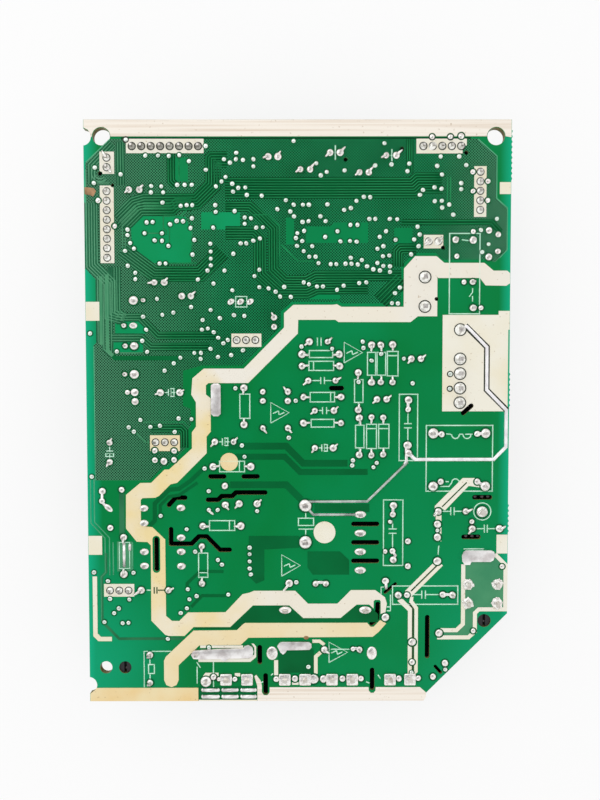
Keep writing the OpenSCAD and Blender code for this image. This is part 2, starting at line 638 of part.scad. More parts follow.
module bulk_capacitor() color("midnightblue") under(BULK[0], BULK[1]) can(bulk_d, part_h, 0.8);
module bulk_capacitor_terminals() {
    color("silver") straight_leads(flat_leads(bulk_places, bulk_lead), seal_recess);
}
module output_capacitors() color("darkslategray") for (c = TALL_CANS) under(c[0], c[1])
    can(tall_can_d, part_h);
module small_capacitors() color("black") for (c = SMALL_CANS) under(c[0], c[1])
    can(small_can_d, small_can_h, 0.3);
module can_leads() color("silver") straight_leads(round_leads(can_places, lead_d), seal_recess);

// ---- axial and disc parts ----

function axial_mid(p) = [(p[0] + p[2]) / 2, (p[1] + p[3]) / 2];
function axial_angle(p) = atan2(p[3] - p[1], p[2] - p[0]);
function axial_span(p) = norm([p[2] - p[0], p[3] - p[1]]);

module axial_bodies(list, d, collar) {
    for (p = list) under(axial_mid(p)[0], axial_mid(p)[1], axial_angle(p))
        translate([-axial_body_l / 2, 0, d / 2]) rotate([0, 90, 0]) union() {
            cylinder(d = d - collar, h = axial_body_l);
            for (x = [0, axial_body_l - 1.4]) translate([0, 0, x]) cylinder(d = d, h = 1.4);
        }
}

module axial_leads_of(list, d) {
    for (p = list) under(axial_mid(p)[0], axial_mid(p)[1], axial_angle(p)) for (s = [0, 180]) rotate(s) {
        half = axial_span(p) / 2;
        translate([half, 0, -board_t - tail]) cylinder(d = lead_d, h = board_t + tail + d / 2);
        translate([half, 0, d / 2]) sphere(d = lead_d);
        translate([axial_body_l / 2, 0, d / 2]) rotate([0, 90, 0])
            cylinder(d = lead_d, h = half - axial_body_l / 2);
    }
}

module resistors() color("tan") axial_bodies(RESISTORS, resistor_d, 0.3);
module diodes() color("black") axial_bodies(DIODES, diode_d, 0);
module axial_leads() color("silver") {
    axial_leads_of(RESISTORS, resistor_d);
    axial_leads_of(DIODES, diode_d);
}

module disc_body(d) {
    under(d[0], d[1], d[5]) translate([0, 0, disc_standoff + d[3] / 2]) rotate([90, 0, 0])
        cylinder(d = d[3], h = d[4], center = true);
}

module disc_capacitors() color("royalblue") for (d = DISCS) disc_body(d);
module varistor() color("darkblue") disc_body(VARISTOR);

module resonator() {
    color("orange") under(RESONATOR[0], RESONATOR[1]) translate([0, 0, disc_standoff])
        block(resonator_size[0], resonator_size[1], resonator_size[2], 1);
}

module disc_leads() {
    color("silver") {
        for (d = concat(DISCS, [VARISTOR])) difference() {
            straight_leads(round_leads(disc_pair(d), lead_d), disc_standoff + d[3] / 2);
            disc_body(d);
        }
        straight_leads(round_leads(resonator_places, lead_d), disc_standoff);
    }
}

// ---- optocoupler ----

module optocoupler() {
    color("dimgray") under(OPTO[0], OPTO[1]) translate([0, 0, 0.5]) difference() {
        block(opto_size[0], opto_size[1], opto_size[2], 0.2);
        translate([-opto_size[0] / 2 + 1, opto_size[1] / 2 - 1, opto_size[2] - 0.15])
            cylinder(d = 0.9, h = 1);
    }
}

// each lead leaves the body sideways and turns down through the board
module optocoupler_leads() {
    exit_h = 0.5 + opto_size[2] / 2;
    reach = OPTO[2] / 2 - opto_size[0] / 2 + opto_lead[0] / 2;
    color("silver") for (p = opto_places) under(p[0], p[1]) {
        side = p[0] > OPTO[0] ? 1 : -1;
        translate([-opto_lead[0] / 2, -opto_lead[1] / 2, -board_t - tail])
            cube([opto_lead[0], opto_lead[1], board_t + tail + exit_h]);
        translate([side > 0 ? opto_lead[0] / 2 - reach : -opto_lead[0] / 2, -opto_lead[1] / 2, exit_h - opto_lead[0]])
            cube([reach, opto_lead[1], opto_lead[0]]);
    }
}

// ---- fuse, terminals ----

module fuse_axis() under(FUSE[0], FUSE[1]) translate([0, 0, fuse_axis_h]) rotate([0, 90, 0]) children();

module fuse_tube() {
    color("lightcyan", 0.5) fuse_axis() difference() {
        cylinder(d = fuse_d - 0.4, h = fuse_l - 1, center = true);
        cylinder(d = fuse_d - 1.6, h = fuse_l, center = true);
    }
}

module fuse_caps() {
    color("silver") fuse_axis() for (s = [-1, 1])
        translate([0, 0, s * (fuse_l - fuse_cap_l) / 2]) difference() {
        cylinder(d = fuse_d, h = fuse_cap_l, center = true);
        translate([0, 0, -s * 0.5]) cylinder(d = fuse_d - 0.4, h = fuse_cap_l, center = true);
    }
}

// a clip is a saddle that the end cap lies in, with a foot through the board
module fuse_clips() {
    clip_l = 5.4;
    wall = 0.6;
    tongue = 1.6;                 // the floor runs on past the jaws, over the foot
    lip = 1.6;                    // the jaws rise this far past the fuse's axis
    color("silver") {
        for (s = [-1, 1]) under(FUSE[0] + s * (fuse_l - fuse_cap_l) / 2, FUSE[1]) difference() {
            union() {
                translate([-clip_l / 2 + (s > 0 ? 0 : -tongue), -fuse_d / 2 - wall, 0])
                    cube([clip_l + tongue, fuse_d + 2 * wall, wall]);
                translate([-clip_l / 2, -fuse_d / 2 - wall, 0])
                    cube([clip_l, fuse_d + 2 * wall, fuse_axis_h + lip]);
            }
            translate([-clip_l, 0, fuse_axis_h]) rotate([0, 90, 0]) cylinder(d = fuse_d, h = 2 * clip_l);
            translate([-clip_l, -fuse_d / 2 + 0.5, wall]) cube([2 * clip_l, fuse_d - 1, fuse_axis_h * 2]);
        }
        straight_leads(flat_leads(fuse_places, fuse_foot));
    }
}

module tab_terminals() {
    color("gainsboro") for (t = TABS) under(t[0], t[1], t[3]) rotate([90, 0, 0])
        linear_extrude(tab_t, center = true)
        difference() {
            union() {
                translate([-t[2] / 2 - tab_leg_w / 2, 0]) square([t[2] + tab_leg_w, 1.5]);
                translate([-tab_w / 2, 0]) square([tab_w, tab_h - 1.2]);
                polygon([[-tab_w / 2, tab_h - 1.2], [tab_w / 2, tab_h - 1.2], [tab_w / 2 - 1.2, tab_h],
                    [1.2 - tab_w / 2, tab_h]]);
                for (s = [-1, 1]) translate([s * t[2] / 2 - tab_leg_w / 2, -board_t - tail])
                    square([tab_leg_w, board_t + tail]);
            }
            translate([0, tab_h - 3.4]) circle(d = 1.8);
        }
}

module wire_post() {
    color("silver") under(POST[0], POST[1]) {
        translate([0, 0, -board_t - tail]) cylinder(d = post_d, h = board_t + tail);
        cylinder(d = post_d + 1.4, h = 1.2);
        translate([0, 0, 1.2]) cylinder(d = post_d, h = 6);
        translate([0, 0, 7.2]) cylinder(d = post_d + 0.8, h = 0.8);
    }
}

// ---- surface-mounted parts ----

module chip_body(c) {
    under(c[0], c[1]) translate([0, 0, chip_lift]) difference() {
        block(c[2], c[3], chip_h, 0.15);
        translate([-c[2] / 2 + 1, -c[3] / 2 + 1, chip_h - 0.1]) cylinder(d = 0.9, h = 1);
    }
}

module microcontroller() color("black") chip_body(CONTROLLER);
module driver_chip() color("black") chip_body(DRIVER);

// one gull-wing lead, leaving the body at its middle height
module gull_lead(w) {
    knee = 0.35;
    foot = 0.9;
    rise = chip_lift + chip_h / 2;
    translate([-w / 2, 0, rise - chip_lead_t]) cube([w, knee, chip_lead_t]);
    translate([-w / 2, knee, 0]) cube([w, chip_lead_t, rise]);
    translate([-w / 2, knee, 0]) cube([w, foot, chip_lead_t]);
}

module lead_row(c, across) {
    w = c[5] * 0.42;
    for (i = [0 : c[4] - 1]) translate([(i - (c[4] - 1) / 2) * c[5], across / 2, 0]) gull_lead(w);
}

module chip_leads() {
    color("silver") {
        for (a = [0 : 90 : 270]) under(CONTROLLER[0], CONTROLLER[1], a) lead_row(CONTROLLER, CONTROLLER[3]);
        for (a = [0, 180]) under(DRIVER[0], DRIVER[1], a) lead_row(DRIVER, DRIVER[3]);
    }
}

module chip_resistors() {
    color("black") for (c = CHIPS) under(c[0], c[1], c[2])
        translate([-chip_size[0] / 2, -chip_size[1] / 2, 0]) cube(chip_size);
}

// a pillar under the board, its split tip pressed into a lower fixing hole
module board_spacers() {
    recess = 0.3;
    split_w = 0.7;
    color("black") for (f = [FIXING[3], FIXING[4]]) under(f[0], f[1]) {
        cylinder(d = spacer_d, h = spacer_l);
        translate([0, 0, recess - board_t]) difference() {
            cylinder(d = f[2], h = board_t - recess + eps);
            translate([0, 0, 0.3]) cube([split_w, 2 * f[2], 1.6], center = true);
        }
    }
}

circuit_board();
solder_joints();
solder_pads();
track_solder();
header_housing(HEADERS[0]);  // top_header_8way
header_housing(HEADERS[1]);  // left_header_8way
header_housing(HEADERS[2]);  // top_header_5way
header_housing(HEADERS[3]);  // right_header_5way
header_housing(HEADERS[4]);  // left_header_2way
header_housing(HEADERS[5]);  // centre_header_2way
header_housing(HEADERS[6]);  // centre_header_3way
header_housing(HEADERS[7]);  // band_header_3way
header_housing(HEADERS[8]);  // lower_header_3way
signal_pins();
mains_header();
power_header();
power_pins();
mains_relay_case();
mains_relay_base();
output_relay_case();
output_relay_base();
relay_pins();
choke_core();
choke_bobbin();
choke_windings();
choke_pins();
transformer_core();
transformer_bobbin();
transformer_winding();
transformer_pins();
film_capacitors();
film_capacitor_leads();
slot_filling();
bridge_rectifier();
bridge_leads();
bulk_capacitor();
bulk_capacitor_terminals();
output_capacitors();
small_capacitors();
can_leads();
resistors();
diodes();
axial_leads();
disc_capacitors();
varistor();
resonator();
disc_leads();
optocoupler();
optocoupler_leads();
fuse_tube();
fuse_caps();
fuse_clips();
tab_terminals();
wire_post();
microcontroller();
driver_chip();
chip_leads();
chip_resistors();
board_spacers();
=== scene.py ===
"""Main control board, solder side up: the printed layers, the solder and the finishes."""
import json
import math
import random

import bpy
from mathutils import Matrix, Vector


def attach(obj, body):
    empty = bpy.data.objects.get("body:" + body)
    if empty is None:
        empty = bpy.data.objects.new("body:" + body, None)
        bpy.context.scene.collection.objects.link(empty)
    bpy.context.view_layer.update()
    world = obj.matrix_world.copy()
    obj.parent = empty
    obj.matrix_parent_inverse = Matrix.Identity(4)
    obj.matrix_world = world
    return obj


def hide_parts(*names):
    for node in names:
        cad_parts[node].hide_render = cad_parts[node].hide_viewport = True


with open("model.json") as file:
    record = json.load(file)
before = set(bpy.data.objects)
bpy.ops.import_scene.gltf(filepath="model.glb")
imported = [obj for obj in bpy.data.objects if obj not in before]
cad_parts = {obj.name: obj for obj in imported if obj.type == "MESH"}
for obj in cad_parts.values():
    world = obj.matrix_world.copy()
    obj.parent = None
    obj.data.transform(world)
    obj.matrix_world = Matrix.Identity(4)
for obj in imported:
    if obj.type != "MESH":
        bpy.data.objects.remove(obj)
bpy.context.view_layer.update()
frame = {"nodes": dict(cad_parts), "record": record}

# ---- sizes, in millimetres as a board maker gives them ----
MM = 0.001
SOLDER_FACE = 21.6                 # height of the solder side over the resting surface
SUNK = 0.02                        # how far a printed layer reaches into the board
GRID_RISE = 0.012                  # each layer stands a little over the last, as mask over copper does
BED_RISE = 0.045
POUR_RISE = 0.05
MARGIN_RISE = 0.07
RUN_RISE = 0.08
TRACK_RISE = 0.085
INK_RISE = 0.09
HALO_RISE = 0.098
EDGE_SHADE_RISE = 0.1
RING_RISE = 0.103
LINE_RISE = 0.118
LAYER_STEP = 0.0004                # where two areas of one tone cross, one lies over the other
PIN_PITCH = 2.54                   # signal headers
WIDE_PITCH = 3.96                  # power header
HATCH_PITCH = 0.53                 # across the grid lines of the ground
LINE_W = 0.34                      # drawn outline of a part
TRACK_W = 0.36
BED_W = 1.15                       # ground kept free round a track
EDGE_W = 0.32                      # lighter line where the ground's copper ends
RUN_W = 0.34                       # single tracks along the board's edge
MARGIN_W = 0.4                     # bare gap between the top strip and the ground
EDGE_SHADE_W = 0.16
VIA_D = 1.3                        # solder drop of a small through-connection
HALO_MARGIN, VIA_MARGIN = 0.25, 0.2    # width of painted shade round a joint and round a via
HOLE_DEPTH = 0.4                   # where the dark of a locating hole begins
SLOT_DEPTH = 0.8                   # how far the lumps of sealant lie below the solder side


# ---- materials ----
def srgb(code, alpha=1.0):
    """A hex colour as linear values."""
    parts = [int(code[i:i + 2], 16) / 255 for i in (1, 3, 5)]
    return tuple(c / 12.92 if c <= 0.04045 else ((c + 0.055) / 1.055) ** 2.4 for c in parts) + (alpha,)


def add(tree, kind, links=None, **settings):
    """Adds a node, gives it its settings, and links its inputs from (node, output) pairs."""
    n = tree.nodes.new(kind)
    for key, value in settings.items():
        if key.startswith("in_"):
            slot = key[3:]
            n.inputs[int(slot) if slot.isdigit() else slot.replace("_", " ")].default_value = value
        else:
            setattr(n, key, value)
    for slot, source in (links or {}).items():
        tree.links.new(source[0].outputs[source[1]], n.inputs[slot])
    return n


def finish_of(name, rough, metal=0.0, **sockets):
    """An empty material with its shader, whose plain numbers sit on the shader itself."""
    m = bpy.data.materials.new(name)
    m.use_nodes = True
    t = m.node_tree
    t.nodes.clear()
    shader = add(t, "ShaderNodeBsdfPrincipled", in_Roughness=rough, in_Metallic=metal)
    for key, value in sockets.items():
        shader.inputs[key.replace("_", " ")].default_value = value
    add(t, "ShaderNodeOutputMaterial", {"Surface": (shader, "BSDF")})
    place = add(t, "ShaderNodeTexCoord")
    return m, t, shader, place


def two_tones(tree, place, first, second, scale, low=0.35, high=0.65, detail=3.0, squeeze=(1, 1, 1)):
    """Colour that wanders between two tones, with patches of about 1/scale of a metre."""
    where = add(tree, "ShaderNodeMapping", {"Vector": (place, "Object")}, in_Scale=squeeze)
    noise = add(tree, "ShaderNodeTexNoise", {"Vector": (where, "Vector")}, in_Scale=scale, in_Detail=detail)
    ramp = add(tree, "ShaderNodeMapRange", {"Value": (noise, "Fac")}, in_From_Min=low, in_From_Max=high)
    return add(tree, "ShaderNodeMix", {"Factor": (ramp, "Result")}, data_type="RGBA",
               in_6=srgb(first), in_7=srgb(second))


def grain(tree, shader, place, scale, depth, strength=0.5, squeeze=(1, 1, 1), detail=2.0):
    """Fine relief of the surface, depth in millimetres."""
    where = add(tree, "ShaderNodeMapping", {"Vector": (place, "Object")}, in_Scale=squeeze)
    noise = add(tree, "ShaderNodeTexNoise", {"Vector": (where, "Vector")}, in_Scale=scale, in_Detail=detail)
    bump = add(tree, "ShaderNodeBump", {"Height": (noise, "Fac")}, in_Strength=strength, in_Distance=depth * MM)
    tree.links.new(bump.outputs["Normal"], shader.inputs["Normal"])
    return noise


def fade(tree, xyz, axis, start, end, most=1.0, least=0.0):
    """A share that goes from least to most between two places along an axis, in millimetres."""
    return add(tree, "ShaderNodeMapRange", {"Value": (xyz, axis)}, in_From_Min=start * MM, in_From_Max=end * MM,
               in_To_Min=least, in_To_Max=most)


def moulded(name, first, second, rough, scale=300, depth=0.03, metal=0.0, squeeze=(1, 1, 1), **sockets):
    """A finish with two close tones and a fine grain."""
    m, t, shader, place = finish_of(name, rough, metal, **sockets)
    tone = two_tones(t, place, first, second, scale, squeeze=squeeze)
    t.links.new(tone.outputs[2], shader.inputs["Base Color"])
    grain(t, shader, place, scale * 4, depth, squeeze=squeeze)
    return m


def mask_over_laminate():
    """Green mask over glass-epoxy: deep green on the faces, with painted light that makes the side edges and
    lower corners paler, olive fibres on cut walls.
    """
    m, t, shader, place = finish_of("green_solder_mask", 0.34, **MATT)
    deep = two_tones(t, place, MASK_GREEN, MASK_COOL, 26, 0.4, 0.62)
    xyz = add(t, "ShaderNodeSeparateXYZ", {"Vector": (place, "Object")})
    # Painted light: paler towards the left and right edges and towards the lower corners, where light spills
    # onto the board.
    left = fade(t, xyz, "X", -53.5, -57.2)
    right = fade(t, xyz, "X", 54.5, 57.4)
    wide = add(t, "ShaderNodeMath", {0: (xyz, "X")}, operation="ABSOLUTE")
    side = fade(t, wide, "Value", 30, 58)
    low = fade(t, xyz, "Y", -30, -68, 0.7)
    corner = add(t, "ShaderNodeMath", {0: (side, "Result"), 1: (low, "Result")}, operation="MULTIPLY")
    rim = add(t, "ShaderNodeMath", {0: (left, "Result"), 1: (right, "Result")}, operation="MAXIMUM")
    rim = add(t, "ShaderNodeMath", {0: (rim, "Value"), 1: (corner, "Value")}, operation="MAXIMUM")
    rim_lit_tone = add(t, "ShaderNodeMix", {"Factor": (rim, "Value"), 6: (deep, 2)}, data_type="RGBA",
                 in_7=srgb(MASK_RIM_LIGHT))
    facing = add(t, "ShaderNodeNewGeometry")
    up = add(t, "ShaderNodeSeparateXYZ", {"Vector": (facing, "Normal")})
    flat = add(t, "ShaderNodeMath", {0: (up, "Z")}, operation="ABSOLUTE")
    wall = add(t, "ShaderNodeMath", {0: (flat, "Value")}, operation="LESS_THAN", in_1=0.5)
    fibre = two_tones(t, place, "#8C8250", "#4E4A2C", 900, 0.3, 0.7, squeeze=(1, 1, 6))
    both = add(t, "ShaderNodeMix", {"Factor": (wall, "Value"), 6: (rim_lit_tone, 2), 7: (fibre, 2)}, data_type="RGBA")
    t.links.new(both.outputs[2], shader.inputs["Base Color"])
    grain(t, shader, place, 700, 0.02, 0.25)
    return m


def mask_over_grid():
    """Copper grid under the mask: lighter lines at 45 degrees round small dark diamonds of bare laminate."""
    m, t, shader, place = finish_of("mask_over_copper_grid", 0.36, **MATT)
    xyz = add(t, "ShaderNodeSeparateXYZ", {"Vector": (place, "Object")})
    step = HATCH_PITCH * MM * math.sqrt(2)
    line_share = 0.09                  # half a line's part of the pitch; it is soft over as much again
    gaps = []
    for way in ("ADD", "SUBTRACT"):
        along = add(t, "ShaderNodeMath", {0: (xyz, "X"), 1: (xyz, "Y")}, operation=way)
        count = add(t, "ShaderNodeMath", {0: (along, "Value")}, operation="MULTIPLY", in_1=1 / step)
        wave = add(t, "ShaderNodeMath", {0: (count, "Value")}, operation="PINGPONG", in_1=0.5)
        gaps.append(add(t, "ShaderNodeMapRange", {"Value": (wave, "Value")},
                        in_From_Min=line_share, in_From_Max=line_share * 2))
    hole = add(t, "ShaderNodeMath", {0: (gaps[0], "Result"), 1: (gaps[1], "Result")}, operation="MULTIPLY")
    clean = two_tones(t, place, GRID_LIGHT, GRID_DEEP, 60)
    # Painted sheen: the grid lines turn pale towards the left and right edges, where the light rakes them.
    left = fade(t, xyz, "X", -20, -57)
    right = fade(t, xyz, "X", 36, 54, 0.8)
    sheen = add(t, "ShaderNodeMath", {0: (left, "Result"), 1: (right, "Result")}, operation="MAXIMUM")
    line = add(t, "ShaderNodeMix", {"Factor": (sheen, "Value"), 6: (clean, 2)}, data_type="RGBA",
               in_7=srgb(GRID_SHEEN))
    both = add(t, "ShaderNodeMix", {"Factor": (hole, "Value"), 6: (line, 2)}, data_type="RGBA",
               in_7=srgb(GRID_HOLE))
    t.links.new(both.outputs[2], shader.inputs["Base Color"])
    return m


def sheened_mask(name, first, second, sheen):
    """Mask that turns pale and hazy to the left, where the light rakes it."""
    m, t, shader, place = finish_of(name, 0.36, **MATT)
    tone = two_tones(t, place, first, second, 200)
    xyz = add(t, "ShaderNodeSeparateXYZ", {"Vector": (place, "Object")})
    # Painted sheen: paler towards the left edge.
    left = fade(t, xyz, "X", -34, -56)
    both = add(t, "ShaderNodeMix", {"Factor": (left, "Result"), 6: (tone, 2)}, data_type="RGBA",
               in_7=srgb(sheen))
    t.links.new(both.outputs[2], shader.inputs["Base Color"])
    return m


def legend_ink(name, fresh, browned, low, high, scale=55, squeeze=(1, 1, 1), turns_at=None):
    """Screened epoxy ink: matt cream, browned in patches by heat and flux, with brown specks."""
    m, t, shader, place = finish_of(name, 0.55, Specular_IOR_Level=0.3)
    tone = two_tones(t, place, fresh, browned, scale, low, high, 5, squeeze)
    dust = add(t, "ShaderNodeTexNoise", {"Vector": (place, "Object")}, in_Scale=1300, in_Detail=1)
    spot = add(t, "ShaderNodeMapRange", {"Value": (dust, "Fac")},
               in_From_Min=0.7, in_From_Max=0.78, in_To_Max=0.5)
    both = add(t, "ShaderNodeMix", {"Factor": (spot, "Result"), 6: (tone, 2)}, data_type="RGBA",
               in_7=srgb(INK_SPECK))
    if turns_at:                       # browned mostly to the left of here, in millimetres
        xyz = add(t, "ShaderNodeSeparateXYZ", {"Vector": (place, "Object")})
        left = fade(t, xyz, "X", turns_at, turns_at - 14, least=0.12)
        ramp = tone.inputs[0].links[0].from_socket
        less = add(t, "ShaderNodeMath", {1: (left, "Result")}, operation="MULTIPLY")
        t.links.new(ramp, less.inputs[0])
        t.links.new(less.outputs[0], tone.inputs[0])
    t.links.new(both.outputs[2], shader.inputs["Base Color"])
    grain(t, shader, place, 900, 0.03, 0.4, squeeze)
    return m


def tin_solder(name, bright, dull, rough, depth, scale=1400):
    """Cooled tin solder: bright metal with duller patches and fine ripples."""
    m, t, shader, place = finish_of(name, rough, 1.0)
    tone = two_tones(t, place, bright, dull, scale, 0.42, 0.66)
    t.links.new(tone.outputs[2], shader.inputs["Base Color"])
    grain(t, shader, place, scale * 0.7, depth, 0.7)
    return m


# The last mask tone is painted light along the board's side edges.
MASK_GREEN, MASK_COOL, MASK_RIM_LIGHT = "#007B3C", "#00844A", "#0FA87C"
# The haze tones on the next two lines are painted sheen where the light rakes the mask.
TRACK_SHEEN, BED_SHEEN = "#66A581", "#2C7350"
GRID_LIGHT, GRID_DEEP, GRID_SHEEN, GRID_HOLE = "#1C9A60", "#0E854E", "#579C76", "#00240F"
INK_SPECK = "#A88C68"
MATT = {"Specular_IOR_Level": 0.08}    # the mask gives almost no glare

# Mask, from emerald over bare laminate to bottle green over heavy copper.
mask = mask_over_laminate()
grid = mask_over_grid()
island_mask = moulded("mask_over_bare_laminate", "#008A4E", "#04965E", 0.34, 40, 0.01, **MATT)
deep_island_mask = moulded("mask_over_deep_laminate", "#007A44", "#00864C", 0.34, 40, 0.01, **MATT)
pour_mask = moulded("mask_over_olive_copper", "#3F8A62", "#4F966C", 0.34, 120, 0.01, **MATT)
dark_mask = moulded("mask_over_heavy_copper", "#005D2E", "#006A37", 0.34, 60, 0.01, **MATT)
thin_mask = moulded("mask_over_thin_copper", "#256B45", "#317A51", 0.34, 200, 0.01, **MATT)
# Pale lines where copper ends, and the near-black gap beside the top strip.
edge_mask = moulded("mask_at_copper_edge", "#62B78C", "#4FA67B", 0.36, 200, 0.01, **MATT)
margin_mask = moulded("mask_in_band_gap", "#0C3A22", "#08301B", 0.4, 300, 0.01, **MATT)
# Mid green tracks on dark beds, both with painted sheen that pales them to the left.
track_mask = sheened_mask("mask_over_track", "#219559", "#147F49", TRACK_SHEEN)
bed_mask = sheened_mask("mask_between_tracks", "#004E27", "#005A2E", BED_SHEEN)
# Dark rims that set the joints off from what is round them; the one round the round joints and vias is painted
# shade.
gap_mask = moulded("olive_mask_between_ink", "#3A5A34", "#2C4A2A", 0.4, 400, 0.01, **MATT)
joint_shade_mask = moulded("painted_shade_round_joint", "#006236", "#00572E", 0.4, 300, 0.01, **MATT)
ring_mask = moulded("mask_ring_round_pin", "#42463C", "#2E332C", 0.4, 800, 0.01, **MATT)
# Dead black that gives no shine: painted shade deep in the locating holes.
hole_shade_black = moulded("black_hole_mouth", "#020302", "#060605", 0.9, 500, 0.01, Specular_IOR_Level=0.0)
# Ink: pale mint lines, fresh cream blocks, and bands that are tanned, browned at the left, warm, or
# ridged across.
line_ink = moulded("mint_legend_ink", "#D8FBE8", "#BDF0D3", 0.5, 500, 0.02)
cream_ink = legend_ink("cream_legend_ink", "#EDE9DA", "#E8DDBC", 0.45, 0.75)
tan_ink = legend_ink("tanned_legend_ink", "#EBD9AC", "#E9C98C", 0.4, 0.7, 90)
band_ink = legend_ink("browned_legend_ink", "#EBE6DA", "#EBD7A0", 0.34, 0.56, 45, turns_at=-8)
lower_ink = legend_ink("warm_legend_ink", "#EBDDB8", "#EAD3A0", 0.4, 0.75, 70)
strip_ink = legend_ink("ridged_legend_ink", "#F4ECE0", "#DCCAB6", 0.46, 0.74, 1200, (0.012, 1, 1))
# Painted grey shade lines along the board's edge, brown spots of burnt flux, cloudy lumps in the slots.
edge_shade_grey = moulded("grey_painted_edge_shade", "#9A968B", "#B4AEA2", 0.6, 600, 0.02)
flux_stain = moulded("burnt_flux", "#B98C62", "#8A6A42", 0.45, 500, 0.02)
silicone = moulded("cloudy_set_silicone", "#5A5254", "#3A3436", 0.6, 900, 0.05)
# Solder, from mirror-bright round joints to grey, pale or dull ones, and smooth tin along the tracks.
joint_solder = tin_solder("bright_tin_solder", "#F7F6F2", "#D6CFCA", 0.26, 0.13)
via_solder = tin_solder("thin_tin_in_via", "#EEF8F0", "#CBD6CD", 0.3, 0.1)
pin_solder = tin_solder("grey_tin_solder", "#B4B3AA", "#7B7972", 0.36, 0.1)
pale_pin_solder = tin_solder("pale_tin_solder", "#FDFDF8", "#C9C7BF", 0.48, 0.1)
power_tin = tin_solder("smooth_tin_on_track", "#FFFEFF", "#EDE9ED", 0.55, 0.06, 420)
dull_tin = tin_solder("flattened_tin_on_track", "#C3CBC6", "#9AA6A0", 0.4, 0.12, 420)
track_tin = tin_solder("drawn_tin_on_track", "#F6F4F3", "#D2CCCB", 0.36, 0.12, 420)


# ---- printed and etched layers ----
def refinish(obj, material):
    """Gives a piece one finish in place of those it had."""
    obj.data.materials.clear()
    obj.data.materials.append(material)


def keep(obj):
    """Hands a piece to the board's one body."""
    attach(obj, "root")


def settle(obj, rise, material):
    """Puts a layer on the solder side, with its place in its mesh, closed and facing out."""
    bpy.ops.object.select_all(action="DESELECT")
    obj.select_set(True)
    bpy.context.view_layer.objects.active = obj
    bpy.ops.object.convert(target="MESH")
    obj.location.z = (SOLDER_FACE + rise) * MM
    bpy.ops.object.transform_apply(location=True, rotation=True, scale=True)
    bpy.ops.object.mode_set(mode="EDIT")
    bpy.ops.mesh.select_all(action="SELECT")
    bpy.ops.mesh.remove_doubles(threshold=1e-7)
    bpy.ops.mesh.normals_make_consistent(inside=False)
    bpy.ops.object.mode_set(mode="OBJECT")
    heights = [v.co.z for v in obj.data.vertices]
    middle = (min(heights) + max(heights)) / 2
    for face in obj.data.polygons:
        if face.normal.z * (face.center.z - middle) < -1e-7:
            face.flip()                # where an outline crosses itself
    obj.data.update()
    refinish(obj, material)
    keep(obj)
    return obj


def print_areas(name, outlines, rise, material):
    """Flat printed areas; an outline inside another is a hole in it."""
    sheet = bpy.data.curves.new(name, "CURVE")
    sheet.dimensions = "2D"
    sheet.fill_mode = "BOTH"
    sheet.extrude = (rise + SUNK) / 2
    for outline in outlines:
        s = sheet.splines.new("POLY")
        s.points.add(len(outline) - 1)
        s.use_cyclic_u = True
        for p, (x, y) in zip(s.points, outline):
            p.co = (x, y, 0, 1)
    obj = bpy.data.objects.new(name, sheet)
    bpy.context.scene.collection.objects.link(obj)
    obj.scale = (MM, MM, MM)           # filled in millimetres, as small outlines fill badly in metres
    return settle(obj, (rise - SUNK) / 2, material)


def draw_lines(name, routes, width, rise, material, sides=0):
    """Lines of one width, low and rounded, along routes of corners."""
    pen = bpy.data.curves.new(name, "CURVE")
    pen.dimensions = "3D"
    pen.twist_mode = "Z_UP"
    pen.bevel_depth = width / 2 * MM
    pen.bevel_resolution = sides
    pen.use_fill_caps = True
    for route in routes:
        s = pen.splines.new("POLY")
        s.points.add(len(route) - 1)
        for p, (x, y) in zip(s.points, route):
            p.co = (x * MM, y * MM, 0, 1)
    obj = bpy.data.objects.new(name, pen)
    bpy.context.scene.collection.objects.link(obj)
    obj.scale.z = 2 * rise / width
    return settle(obj, 0, material)


def print_each(name, outlines, rise, material):
    """Areas that may cross each other, each a sheet of its own, joined into one piece."""
    sheets = [print_areas(name, [o], rise + i * LAYER_STEP, material) for i, o in enumerate(outlines)]
    return merge_pieces(sheets)


def merge_pieces(pieces):
    """Joins finished pieces into the first of them."""
    bpy.ops.object.select_all(action="DESELECT")
    for piece in pieces:
        piece.select_set(True)
    bpy.context.view_layer.objects.active = pieces[0]
    if len(pieces) > 1:
        bpy.ops.object.join()
    return pieces[0]


def box_of(x0, y0, x1, y1):
    """Outline of an upright box between two corners."""
    return [(x0, y0), (x1, y0), (x1, y1), (x0, y1)]


def capsule(x0, y0, x1, y1, width, n=8):
    """A slot-like outline with round ends."""
    a = math.atan2(y1 - y0, x1 - x0) - math.pi / 2
    r = width / 2
    return [(x + r * math.cos(a + turn + math.pi * k / n), y + r * math.sin(a + turn + math.pi * k / n))
            for x, y, turn in ((x1, y1, 0), (x0, y0, math.pi)) for k in range(n + 1)]


def round_of(x, y, r, n=32, r2=None):
    """Outline of a disc, or of an oval when its half height r2 is given."""
    return [(x + r * math.cos(a * math.tau / n), y + (r2 or r) * math.sin(a * math.tau / n)) for a in range(n)]


def beside(route, gap):
    """The route moved sideways by gap, its corners kept sharp."""
    out = []
    for i, (x, y) in enumerate(route):
        ways = []
        for a, b in ((i - 1, i), (i, i + 1)):
            if a >= 0 and b < len(route):
                dx, dy = route[b][0] - route[a][0], route[b][1] - route[a][1]
                n = math.hypot(dx, dy)
                ways.append((-dy / n, dx / n))
        nx, ny = sum(w[0] for w in ways) / len(ways), sum(w[1] for w in ways) / len(ways)
        k = gap / (nx * nx + ny * ny)
        out.append((x + nx * k, y + ny * k))
    return out


BEDS = []                          # bundle() puts its routes here too


def bundle(count, gap, route):
    """Parallel tracks, the first on the route and the others to its right, on a bed free of the grid."""
    routes = [beside(route, -i * gap) for i in range(count)]
    BEDS.extend(routes)
    return routes


def part_ring(x, y, r):
    """A track that bends round a hole, open to the right."""
    return [(x + r * math.cos(k * math.pi / 8), y + r * math.sin(k * math.pi / 8)) for k in range(5, 15)]


def strip(route, width):
    """The outline of a wide printed strip along a route."""
    return beside(route, width / 2) + beside(route, -width / 2)[::-1]


